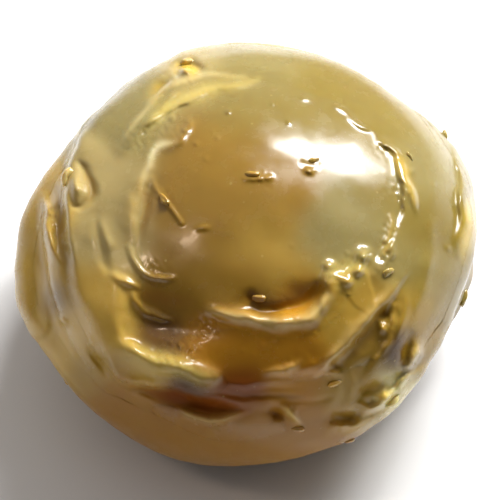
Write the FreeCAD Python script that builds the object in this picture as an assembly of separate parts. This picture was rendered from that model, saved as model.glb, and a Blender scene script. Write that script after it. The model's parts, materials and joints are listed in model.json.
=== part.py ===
"""Rosin cake: a soft lump of folded rosin, built from its separate laps.

An inner gather (a flattened ball) sits in a cup of resin with a flat foot, wrapped by laps: sheets,
ribbons and rolls that lie over one another. Every lap is draped: its underside follows the skin,
the gather and the laps already laid, a hair's breadth clear of them, and its upper side is rounded
over from edge to edge.

Millimetres, +Z up, origin at the middle of the flat foot. The front faces -Y and the right +X.
Places on the lump are given on the skin, a reference ellipsoid. A "way" is a unit direction in
the round space where the skin is a unit ball; azimuth runs from +X towards +Y.
"""
import FreeCAD, Part
import math
import os

os.makedirs("parts", exist_ok=True)
V = FreeCAD.Vector

# Skin and gather: centre, level radius and upright semi-axis
SKIN_CENTRE = V(0.0, 0.0, 15.0)
SKIN_RADIUS = 23.3
SKIN_UPRIGHT = 18.2
GATHER_CENTRE = V(1.3, -3.6, 17.6)
GATHER_RADIUS = 19.4
GATHER_UPRIGHT = 16.2
GATHER_RINGS, GATHER_AROUND = 24, 60   # steps from pole to pole, and points round each ring
NO_GATHER = -5.0                       # height given where the skin's normal misses the gather

# Cup
MOUTH_AXIS = V(0.20, -0.55, 0.81).normalize()  # way the mouth faces, where the gather stands out
MOUTH_ANGLE = 58.0                     # half angle of the mouth seen from the skin's centre
CUP_CLEARANCE = 0.1                    # between the cup's hollow and the gather
CUP_RINGS, CUP_AROUND = 30, 72         # rings down the cup's wall, and points round each
CUP_POLE_ANGLE = 178.5                 # ring close round the bottom pole, which keeps it smooth
LIP_ANGLE_STEP = 0.6                   # how far the lip bulges past the last ring, in degrees
LIP_SHARES = (0.25, 0.75)              # where the lip's rings lie, from skin 0 to hollow 1

# Inside the mouth the laps may sink below the skin, down a soft step
MOUTH_ARC_RADIUS = 21.0                # turns an angle from the rim into a distance
MOUTH_STEP_WIDTH = 3.0
MOUTH_STEP_DEPTH = 1.2

# Draping
SECTION_POINTS = 24                    # points round one lap section
SECTION_SPACING = 1.3                  # distance between sections along a lap
GAP = 0.04                             # clearance between a lap and what it lies on
FILM = 0.5                             # least thickness of a lap where it runs over a higher one
EDGE_FILM = 0.5                        # share of that film left at a lap's edges
EDGE_FALL = 2.2                        # how quickly the underside drops from edge to floor
BLEND = 0.35                           # how softly an underside rolls over the lap below
COVER_STEPS = 6                        # stations per span when a laid lap's height is read
COVER_MARGIN = 1.0                     # room round a laid lap's box, beyond its half width

# Lap ends
END_REACH = 0.8                        # length of a lap's rounded end, in half widths
END_SECTIONS = ((0.35, 0.92), (0.62, 0.72), (0.78, 0.42))  # share of the reach, size of section
TIP_SHARE = 0.84                       # where the end closes to a point, as a share of the reach
TIP_FILM = 0.4                         # share of the film under the tip
TIP_RISE = 0.6                         # most that the tip may stand above what it lies on

# Block above the foot that the lump is cut to
BLOCK_WIDTH, BLOCK_HEIGHT = 120, 80

# Laps in the order they are laid: name, then stations along the middle line. Columns: azimuth and
# latitude in degrees, half width, half thickness, height of the middle above the skin, and how far
# the edge on the left, seen from outside looking along the lap, is raised.
LAPS = [
    ("belly_roll", [
        (-178, -14, 4.5, 1.8, 0, 0),
        (-163, -12, 5.5, 2, 0, 0),
        (-135.4, -14.4, 6, 2.1, -0.1, 0),
        (-117.7, -17.9, 6.2, 2.1, -0.2, 0),
        (-100.8, -17.6, 6.2, 2, -0.5, 0),
        (-85.4, -11.4, 6, 1.9, -0.5, 0),
        (-70.4, -7.7, 5.6, 1.8, -0.6, 0),
        (-55.3, -3.4, 4.8, 1.6, -0.7, 0),
        (-38, -3, 4, 1.4, -0.7, 0),
    ]),
    ("back_roll", [
        (-45, -12, 4, 1.5, -0.5, 0),
        (-22, -12, 5.5, 1.9, -0.3, 0),
        (0, -11, 6.3, 2.2, 0, 0),
        (30, -9, 6.8, 2.4, 0, 0),
        (60, -8, 7, 2.4, 0, 0),
        (90, -8, 7, 2.4, 0, 0),
        (120, -9, 7, 2.4, 0, 0),
        (150, -10, 6.5, 2.2, 0, 0),
        (172, -12, 5, 1.9, 0, 0),
        (188, -13, 4, 1.6, -0.3, 0),
    ]),
    ("back_sheet", [
        (12, 14, 4, 1.3, 0, 0),
        (35, 20, 6, 1.6, 0.2, 0.2),
        (62, 18, 6.5, 1.6, 0.3, 0.2),
        (92, 17, 6.5, 1.6, 0.2, -0.2),
        (122, 18, 6, 1.5, 0.2, -0.3),
        (148, 20, 4.8, 1.3, 0.1, -0.2),
    ]),
    ("top_sheet", [
        (153.6, 49.5, 3.4, 1.2, 0.25, 0),
        (142.6, 53.1, 4.1, 1.3, 0.3, 0.05),
        (127.7, 55.6, 4.6, 1.4, 0.35, 0.05),
        (108.5, 58, 5.4, 1.4, 0.3, 0.15),
        (84.9, 57.8, 5.6, 1.4, 0.2, 0.25),
        (64.6, 55.2, 4.4, 1.2, 0.15, 0.15),
    ]),
    ("top_right_sheet", [
        (79.9, 65.5, 3, 1, 0.4, 0.2),
        (60.9, 60.8, 4.6, 1.3, 0.4, 0.3),
        (44.9, 54, 5.2, 1.4, 0.4, 0.3),
        (30.5, 48.5, 4.8, 1.4, 0.4, 0.2),
        (17.2, 44.6, 3.4, 1.2, 0.3, 0),
    ]),
    ("left_flap", [
        (151.4, 34.2, 1.6, 0.9, 0, 0),
        (168.6, 28.8, 2.6, 1.4, 0.3, 0),
        (179.9, 18.8, 3.2, 1.6, 0.3, 0),
        (-171.9, 3.9, 3.6, 1.6, 0.3, 0),
        (-160.8, -3.1, 3.2, 1.5, 0.36, 0),
        (-152.5, -8, 2, 1.1, 0.24, 0),
    ]),
    ("left_inner_ribbon", [
        (179.6, 35.9, 0.9, 0.7, 0.3, 0),
        (-166.1, 31, 1.4, 0.9, 0.6, 0),
        (-153.2, 25.8, 1.8, 1, 0.6, 0),
        (-141.2, 18.8, 1.8, 1, 0.5, 0),
        (-132, 13.8, 1.3, 0.8, 0.3, 0),
    ]),
    ("right_flap", [
        (40, 24, 1.8, 1, 0, 0),
        (30, 27.8, 2.6, 1.3, 2.23, 0),
        (19.6, 22, 3, 1.5, 1.17, 0),
        (7.5, 14.2, 2.8, 1.5, 0.31, 0),
        (-11.8, 17.5, 2.5, 1.4, 0.3, 0),
        (-25.8, 14.1, 1.8, 1.1, 0.1, 0),
        (-35, 10.6, 1.1, 0.8, -0.2, 0),
    ]),
    ("right_shoulder", [
        (37.4, 47.1, 3, 1.1, 0, 0.1),
        (23.1, 43.3, 4, 1.3, 0.1, 0.3),
        (3.1, 41.3, 4.8, 1.4, 0.1, 0.4),
        (-16.3, 39.6, 5.2, 1.4, 0.1, 0.4),
        (-32.1, 34, 4.8, 1.4, 0.1, 0.3),
        (-44.2, 27.2, 3.6, 1.3, 0.2, 0.1),
        (-54.8, 19.2, 2.6, 1.1, 0.2, 0),
        (-63.6, 7.8, 1.6, 0.8, 0.1, 0),
    ]),
    ("rim_roll", [
        (-29.9, 8.7, 1.3, 0.9, 0.2, 0),
        (-41.2, 6.8, 1.9, 1.1, 0.4, 0),
        (-49.2, 0.2, 2.1, 1.2, 0.6, 0),
        (-57.7, -6.4, 2.1, 1.2, 0.6, 0),
        (-67.5, -9.9, 1.8, 1.1, 0.5, 0),
        (-77.8, -12.2, 1.1, 0.8, 0.3, 0),
    ]),
    ("crevice_lap", [
        (-110.4, 6.1, 1, 0.7, 0.3, 0),
        (-101.1, 5.1, 1.6, 0.9, 0.5, 0.1),
        (-92.8, 6.3, 1.6, 0.9, 0.5, 0.1),
        (-83.3, 9.3, 1, 0.7, 0.3, 0),
    ]),
    ("under_lip", [
        (-126.3, 10.5, 1.5, 0.8, 0.2, 0),
        (-118.2, 13.2, 1.9, 1, 0.3, 0),
        (-108.9, 15.7, 2, 1.1, 0.4, 0),
        (-98.9, 16.6, 2.2, 1.2, 0.4, 0),
        (-88, 15.9, 2.6, 1.3, 0.3, 0),
        (-77, 15.6, 2.8, 1.2, 0.2, 0),
        (-66.6, 16, 2.2, 1, 0.1, 0),
    ]),
    ("swirl_band", [
        (-37.4, 28.1, 1.3, 0.9, 0.9, 0),
        (-47.9, 22.1, 1.7, 1, 1, 0),
        (-55.9, 13.9, 1.7, 1, 0.9, 0),
        (-62.5, 6.1, 1.1, 0.8, 0.7, 0),
    ]),
    ("lower_band", [
        (-38.8, 40.4, 2, 1, 0.9, 0.2),
        (-51.6, 38.2, 3.2, 1.2, 0.8, 0.3),
        (-65.1, 34.5, 3.6, 1.3, 0.7, 0.3),
        (-79.1, 31.8, 3.4, 1.3, 0.6, 0.1),
        (-91.8, 31.2, 2.8, 1.2, 0.5, -0.1),
        (-102.7, 32, 1.8, 1, 0.4, 0),
    ]),
    ("left_shell", [
        (134.7, 60.1, 2.8, 0.9, 0.5, -0.1),
        (162.5, 57.1, 3.9, 1.1, 0.6, -0.4),
        (-173.7, 51.6, 4.6, 1.2, 0.6, -0.7),
        (-155.4, 45.9, 4.7, 1.2, 0.6, -0.7),
        (-141.1, 38.1, 4.2, 1.2, 0.6, -0.5),
        (-130.7, 29.3, 3.2, 1.2, 0.8, 0),
        (-121, 22.4, 2.5, 1.1, 1, 0.4),
        (-109.7, 23, 1.8, 0.9, 1.2, 0.4),
        (-99.4, 22.2, 1, 0.7, 1.1, 0.2),
    ]),
    ("crest_ribbon", [
        (-176.7, 59, 0.8, 0.6, 1, 0),
        (169.2, 60.3, 1, 0.7, 1.2, 0),
        (153.5, 61.5, 1.2, 0.8, 1.3, 0),
        (137, 63.2, 1.3, 0.8, 1.3, 0),
        (120.1, 66.6, 1.2, 0.8, 1.2, 0),
        (96.9, 69.6, 1, 0.7, 1.1, 0),
        (67.7, 71, 0.7, 0.6, 0.9, 0),
    ]),
    ("right_collar", [
        (27.4, 62.9, 0.7, 0.5, 0.9, 0),
        (14.2, 58.9, 1, 0.7, 1.1, 0),
        (2.8, 54.3, 1.1, 0.8, 1.2, 0),
        (-7.3, 50.3, 1.2, 0.8, 1.2, 0),
        (-20, 47.6, 1.2, 0.8, 1.3, 0),
        (-32.2, 45.1, 1.2, 0.8, 1.4, 0),
        (-41.9, 43.3, 1.3, 0.9, 1.5, 0),
        (-51.8, 43.7, 1.2, 0.8, 1.6, 0),
        (-61.2, 45.3, 0.9, 0.7, 1.5, 0),
    ]),
    ("lower_swirl", [
        (-104.6, 40.7, 0.7, 0.5, 1.3, 0),
        (-94.7, 39.5, 1, 0.7, 1.5, 0),
        (-85.8, 38.2, 1.1, 0.8, 1.6, 0),
        (-75.8, 38.4, 1.1, 0.8, 1.7, 0),
        (-68.9, 40.6, 0.9, 0.7, 1.7, 0),
        (-64.1, 44.8, 0.7, 0.6, 1.6, 0),
    ]),
]

# Crumbs and pulled tips stuck on the surface. Columns: azimuth, latitude, half length, half width,
# half thickness, and turn in degrees from east towards north
CRUMBS = [
    (-17, -1.8, 0.9, 0.45, 0.9, 29), (62.7, 38.9, 0.45, 0.3, 0.6, -125),
    (49.1, 35.3, 0.5, 0.3, 0.5, -155), (23.4, 24.5, 0.4, 0.3, 0.6, 16),
    (171.3, 15.3, 0.5, 0.3, 0.7, 138), (104.7, 40.8, 0.4, 0.3, 0.5, -167),
    (-143.3, -12.5, 0.5, 0.35, 0.5, -33), (-172.9, 42.2, 0.9, 0.75, 0.8, 140),
    (-79.7, 4.9, 0.8, 0.4, 0.7, -17), (-66, -10.8, 0.5, 0.35, 0.6, 6),
    (-47.4, 13.3, 0.75, 0.5, 0.9, 35), (-57.3, 4.2, 1.1, 0.6, 0.7, 21),
    (-40.1, 71.7, 0.5, 0.35, 0.5, -31), (-88.9, 73.6, 0.8, 0.25, 0.4, -10),
    (-134.9, 61.1, 0.9, 0.3, 0.4, -16), (-89, 44, 0.6, 0.45, 0.5, -1),
    (121.1, 56.6, 0.9, 0.5, 0.7, 161), (-48.6, 40.7, 0.6, 0.4, 0.6, 0),
    (-3.9, 50.7, 0.5, 0.3, 0.5, -130), (-70.4, 18.7, 0.7, 0.3, 0.4, 1),
]
CRUMB_NARROWING = 0.25                 # share of the width lost at both ends
CRUMB_SKEW = 0.1                       # share of the width moved from the first end to the last
CRUMB_THINNING = 0.3                   # share of the thickness lost at both ends
CRUMB_LIFT = 0.05                      # height of a crumb's middle above what it lies on


# The skin

def way_to(azimuth, latitude):
    azimuth, latitude = math.radians(azimuth), math.radians(latitude)
    return V(math.cos(latitude) * math.cos(azimuth), math.cos(latitude) * math.sin(azimuth),
             math.sin(latitude))


def skin_normal(way):
    return V(way.x / SKIN_RADIUS, way.y / SKIN_RADIUS, way.z / SKIN_UPRIGHT).normalize()


def skin_point(way, height=0.0):
    """The point at a height above the skin, along its outward normal."""
    point = SKIN_CENTRE + V(way.x * SKIN_RADIUS, way.y * SKIN_RADIUS, way.z * SKIN_UPRIGHT)
    return point + skin_normal(way) * height


def way_through(point):
    offset = point - SKIN_CENTRE
    return V(offset.x / SKIN_RADIUS, offset.y / SKIN_RADIUS, offset.z / SKIN_UPRIGHT).normalize()


def ray_reach(start, ray, centre, radius, upright):
    """Distance along a ray to the far side of an ellipsoid, or None where it misses."""
    offset = start - centre
    origin = V(offset.x / radius, offset.y / radius, offset.z / upright)
    heading = V(ray.x / radius, ray.y / radius, ray.z / upright)
    a, b, c = heading.dot(heading), 2 * origin.dot(heading), origin.dot(origin) - 1
    discriminant = b * b - 4 * a * c
    if discriminant <= 0:
        return None
    return (-b + math.sqrt(discriminant)) / (2 * a)


# Lines of stations

def catmull(before, start, end, after, t):
    """Catmull-Rom interpolation from start to end, column by column."""
    return [
        0.5 * (2 * b + (c - a) * t + (2 * a - 5 * b + 4 * c - d) * t * t
               + (3 * b - a - 3 * c + d) * t ** 3)
        for a, b, c, d in zip(before, start, end, after)
    ]


def smooth_stations(lap, per_span):
    """Smooth stations along a lap: way, half width, half thickness, lift, tilt."""
    rows = [[*way_to(*station[:2]), *station[2:]] for station in lap]
    first = [2 * a - b for a, b in zip(rows[0], rows[1])]
    last = [2 * a - b for a, b in zip(rows[-1], rows[-2])]
    rows = [first] + rows + [last]
    smooth = [catmull(*rows[i - 1:i + 3], k / per_span)
              for i in range(1, len(rows) - 2) for k in range(per_span)]
    smooth.append(rows[-2])
    return [[V(*row[:3]).normalize()] + row[3:] for row in smooth]


def headings(middle):
    """Unit directions along a line of points, each taken between its neighbours."""
    last = len(middle) - 1
    return [(middle[min(i + 1, last)] - middle[max(i - 1, 0)]).normalize()
            for i in range(last + 1)]


# What a lap lies on

class Cover:
    """How high a laid lap stands above the skin, at any point of the skin."""

    def __init__(self, lap):
        self.stations = smooth_stations(lap, COVER_STEPS)
        self.middle = [skin_point(station[0]) for station in self.stations]
        self.headings = headings(self.middle)
        self.box = FreeCAD.BoundBox()
        for point in self.middle:
            self.box.add(point)
        self.box.enlarge(max(station[1] for station in self.stations) + COVER_MARGIN)

    def height(self, point):
        """Height of the lap's upper side, or None where the lap doesn't reach."""
        if not self.box.isInside(point):
            return None
        nearest, i = 1e9, 0
        for j, mid in enumerate(self.middle):
            square = (point.x - mid.x) ** 2 + (point.y - mid.y) ** 2 + (point.z - mid.z) ** 2
            if square < nearest:
                nearest, i = square, j
        way, half_width, half_thick, lift, tilt = self.stations[i]
        offset = point - self.middle[i]
        across = offset.dot(skin_normal(way).cross(self.headings[i]))
        along = offset.dot(self.headings[i])
        past_end = 0.0
        if i == 0:
            past_end = max(-along, 0.0)
        elif i == len(self.middle) - 1:
            past_end = max(along, 0.0)
        share = math.sqrt(across * across + (past_end / END_REACH) ** 2) / half_width
        if share >= 1:
            return None
        return lift + tilt * across / half_width + half_thick * math.sqrt(1 - share * share)


def gather_height(way):
    """How far the gather stands above the skin (negative where it is below)."""
    reach = ray_reach(skin_point(way), skin_normal(way),
                      GATHER_CENTRE, GATHER_RADIUS, GATHER_UPRIGHT)
    return NO_GATHER if reach is None else reach


def soft_max(a, b, blend):
    overlap = max(blend - abs(a - b), 0.0) / blend
    return max(a, b) + overlap * overlap * blend * 0.25


def floor_height(way, covers):
    """The height above the skin of everything already laid."""
    point = skin_point(way)
    cosine = (point - SKIN_CENTRE).normalize().dot(MOUTH_AXIS)
    angle = math.degrees(math.acos(max(-1.0, min(1.0, cosine))))
    past_rim = math.radians(MOUTH_ANGLE - angle) * MOUTH_ARC_RADIUS
    step = min(max(0.5 + past_rim / MOUTH_STEP_WIDTH, 0.0), 1.0)
    step = step * step * (3 - 2 * step)
    height = max(gather_height(way), -step * MOUTH_STEP_DEPTH)
    for cover in covers:
        top = cover.height(point)
        if top is not None and top > height - BLEND:
            height = soft_max(height, top, BLEND)
    return height


# Solids

def smooth_solid(rows):
    """A closed solid with one smooth face steered by rows of points; the end rows are tips."""
    spans, around = len(rows) - 3, len(rows[0])
    face = Part.BSplineSurface()
    face.buildFromPolesMultsKnots(
        rows, [4] + [1] * (spans - 1) + [4], [1] * (around + 1),
        [float(i) for i in range(spans + 1)], [float(i) for i in range(around + 1)],
        False, True, 3, 3)
    solid = Part.Solid(Part.Shell([face.toShape()]))
    if solid.Volume < 0:
        solid.reverse()
    return solid


def lap_section(way, heading, half_width, half_thick, lift, tilt, covers, film=FILM):
    """Points round one section of a lap, across its heading."""
    centre = skin_point(way)
    across = skin_normal(way).cross(heading).normalize()
    points = []
    for k in range(SECTION_POINTS):
        angle = 2 * math.pi * k / SECTION_POINTS
        side, up = math.cos(angle), math.sin(angle)
        point_way = way_through(centre + across * (half_width * side))
        low = floor_height(point_way, covers) + GAP
        middle = lift + tilt * side
        if up > 1e-6:
            height = max(middle + half_thick * up, low + film * min(1.0, EDGE_FILM + up))
        else:
            # the underside leaves the edge and settles on the floor
            edge = max(middle, low + EDGE_FILM * film)
            fall = max(0.0, 1.0 + up * EDGE_FALL)
            height = low + (edge - low) * fall * fall
        points.append(skin_point(point_way, height))
    return points


def lap_end(station, outward, heading, covers):
    """Rows of a lap's rounded end, from its last full section out to the tip."""
    way, half_width, half_thick, lift, tilt = station
    base = skin_point(way)
    rows = []
    for reach, size in END_SECTIONS:
        near = way_through(base + outward * (END_REACH * reach * half_width))
        rows.append(lap_section(near, heading, size * half_width, size * half_thick, lift,
                                size * tilt, covers, FILM * (0.5 + 0.5 * size)))
    tip = way_through(base + outward * (END_REACH * half_width * TIP_SHARE))
    low = floor_height(tip, covers) + GAP
    point = skin_point(tip, max(low + TIP_FILM * FILM, min(lift, low + TIP_RISE)))
    rows.append([point] * SECTION_POINTS)
    return rows


def lap_solid(lap, covers):
    """A lap draped over what is already laid."""
    line = [skin_point(way_to(*station[:2])) for station in lap]
    length = sum((b - a).Length for a, b in zip(line, line[1:]))
    per_span = max(2, int(round(length / (len(lap) - 1) / SECTION_SPACING)))
    stations = smooth_stations(lap, per_span)
    middle = [skin_point(station[0]) for station in stations]
    rows = [lap_section(station[0], heading, *station[1:], covers)
            for station, heading in zip(stations, headings(middle))]
    start_out = (middle[0] - middle[1]).normalize()
    finish_out = (middle[-1] - middle[-2]).normalize()
    start = lap_end(stations[0], start_out, start_out * -1.0, covers)
    finish = lap_end(stations[-1], finish_out, finish_out, covers)
    return smooth_solid(start[::-1] + rows + finish)


def gather_solid():
    """The inner gather, steered by rings about its upright axis."""
    grow = 1.0 + (math.pi / GATHER_RINGS) ** 2 / 6.0  # the face runs inside its steering points
    radius, upright = GATHER_RADIUS * grow, GATHER_UPRIGHT * grow
    inner = [-90.0 + 180.0 * i / GATHER_RINGS for i in range(1, GATHER_RINGS)]
    rows = [[GATHER_CENTRE - V(0, 0, upright)] * GATHER_AROUND]
    for latitude in [-89.0] + inner + [89.0]:
        tilt = math.radians(latitude)
        turns = [2 * math.pi * k / GATHER_AROUND for k in range(GATHER_AROUND)]
        rows.append([GATHER_CENTRE + V(radius * math.cos(tilt) * math.cos(turn),
                                       radius * math.cos(tilt) * math.sin(turn),
                                       upright * math.sin(tilt)) for turn in turns])
    rows.append([GATHER_CENTRE + V(0, 0, upright)] * GATHER_AROUND)
    return smooth_solid(rows)


def cup_ring(angle, share):
    """Points round the mouth's axis; share 0 is the skin and 1 is the hollow."""
    side = MOUTH_AXIS.cross(V(0, 0, 1)).normalize()
    other = MOUTH_AXIS.cross(side)
    angle = math.radians(angle)
    points = []
    for k in range(CUP_AROUND):
        turn = 2 * math.pi * k / CUP_AROUND
        spoke = side * math.cos(turn) + other * math.sin(turn)
        ray = MOUTH_AXIS * math.cos(angle) + spoke * math.sin(angle)
        outer = ray_reach(SKIN_CENTRE, ray, SKIN_CENTRE, SKIN_RADIUS, SKIN_UPRIGHT)
        inner = ray_reach(SKIN_CENTRE, ray, GATHER_CENTRE, GATHER_RADIUS, GATHER_UPRIGHT)
        inner += CUP_CLEARANCE
        points.append(SKIN_CENTRE + ray * (outer + (inner - outer) * share))
    return points


def cup_solid(above_foot):
    """The bowl the gather sits in: skin outside, hollow round the gather, foot cut flat."""
    angles = [180.0, CUP_POLE_ANGLE]
    angles += [180.0 - (180.0 - MOUTH_ANGLE) * i / CUP_RINGS for i in range(1, CUP_RINGS + 1)]
    rows = [cup_ring(angle, 0.0) for angle in angles]
    rows += [cup_ring(MOUTH_ANGLE - LIP_ANGLE_STEP, share) for share in LIP_SHARES]
    rows += [cup_ring(angle, 1.0) for angle in reversed(angles)]
    return smooth_solid(rows).common(above_foot)


def crumb_solid(azimuth, latitude, half_length, half_width, half_thick, turn, covers):
    """A crumb: a tiny lap of three stations."""
    way = way_to(azimuth, latitude)
    east = V(-way.y, way.x, 0).normalize()
    north = skin_normal(way).cross(east)
    along = east * math.cos(math.radians(turn)) + north * math.sin(math.radians(turn))
    lift = floor_height(way, covers) + CRUMB_LIFT
    lap = []
    for k in (-1.0, 0.0, 1.0):
        near = way_through(skin_point(way) + along * (half_length * k))
        lap.append((math.degrees(math.atan2(near.y, near.x)), math.degrees(math.asin(near.z)),
                    half_width * (1.0 - CRUMB_NARROWING * abs(k) + CRUMB_SKEW * k),
                    half_thick * (1.0 - CRUMB_THINNING * abs(k)), lift, 0.0))
    return lap_solid(lap, covers)


above_foot = Part.makeBox(BLOCK_WIDTH, BLOCK_WIDTH, BLOCK_HEIGHT,
                          V(-BLOCK_WIDTH / 2, -BLOCK_WIDTH / 2, 0))
pieces = [("inner_gather", gather_solid()), ("cup_mass", cup_solid(above_foot))]

covers = []
for name, lap in LAPS:
    solid = lap_solid(lap, covers)
    if solid.BoundBox.ZMin < 0:
        solid = solid.common(above_foot)
    pieces.append((name, solid))
    covers.append(Cover(lap))

pieces.append(("crumbs", Part.Compound([crumb_solid(*crumb, covers) for crumb in CRUMBS])))

for name, shape in pieces:
    shape.exportStep("parts/%s.step" % name)
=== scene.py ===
"""Rosin cake: a lump of folded resin laps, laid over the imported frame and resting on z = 0.

+x is right and +z is up; the viewer stands at -y and looks down at 50 degrees.
The shape code works in millimetres in the row frame; everything handed to Blender is metres.
"""
import json
import math
import bmesh
import bpy
import numpy as np
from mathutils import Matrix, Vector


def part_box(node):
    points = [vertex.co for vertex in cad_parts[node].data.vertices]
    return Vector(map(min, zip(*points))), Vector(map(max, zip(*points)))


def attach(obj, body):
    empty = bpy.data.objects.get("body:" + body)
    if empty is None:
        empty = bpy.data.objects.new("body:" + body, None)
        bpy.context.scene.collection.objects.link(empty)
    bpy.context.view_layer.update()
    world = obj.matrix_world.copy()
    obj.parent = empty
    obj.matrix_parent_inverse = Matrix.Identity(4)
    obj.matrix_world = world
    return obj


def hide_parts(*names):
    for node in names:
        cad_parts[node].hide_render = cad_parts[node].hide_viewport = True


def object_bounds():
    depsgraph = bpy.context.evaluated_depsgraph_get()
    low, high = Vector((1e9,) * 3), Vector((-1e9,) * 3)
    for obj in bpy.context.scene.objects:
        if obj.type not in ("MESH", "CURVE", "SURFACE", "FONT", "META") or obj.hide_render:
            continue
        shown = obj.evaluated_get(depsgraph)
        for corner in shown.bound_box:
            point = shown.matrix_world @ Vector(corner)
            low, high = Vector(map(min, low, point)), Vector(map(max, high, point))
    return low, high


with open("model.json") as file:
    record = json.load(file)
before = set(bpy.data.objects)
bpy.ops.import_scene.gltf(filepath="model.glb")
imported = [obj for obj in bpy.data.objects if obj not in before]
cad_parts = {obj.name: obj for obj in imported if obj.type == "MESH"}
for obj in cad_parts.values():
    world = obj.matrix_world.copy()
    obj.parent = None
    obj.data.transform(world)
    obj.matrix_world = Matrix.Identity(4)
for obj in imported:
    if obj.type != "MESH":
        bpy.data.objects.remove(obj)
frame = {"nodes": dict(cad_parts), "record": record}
import openvdb
from mathutils import Vector

f32 = np.float32


def read_rows(text):
    """Rows of numbers; commas part the rows."""
    return [[float(v) for v in row.split()] for row in text.split(",")]


def read_strokes(text):
    """Strokes parted by semicolons, each a list of rows."""
    return [read_rows(stroke) for stroke in text.split(";")]


def read_headed(text):
    """Strokes that each open with one row of their own and a colon."""
    parts = [stroke.split(":") for stroke in text.split(";")]
    return [(read_rows(head)[0], read_rows(body)) for head, body in parts]


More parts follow.
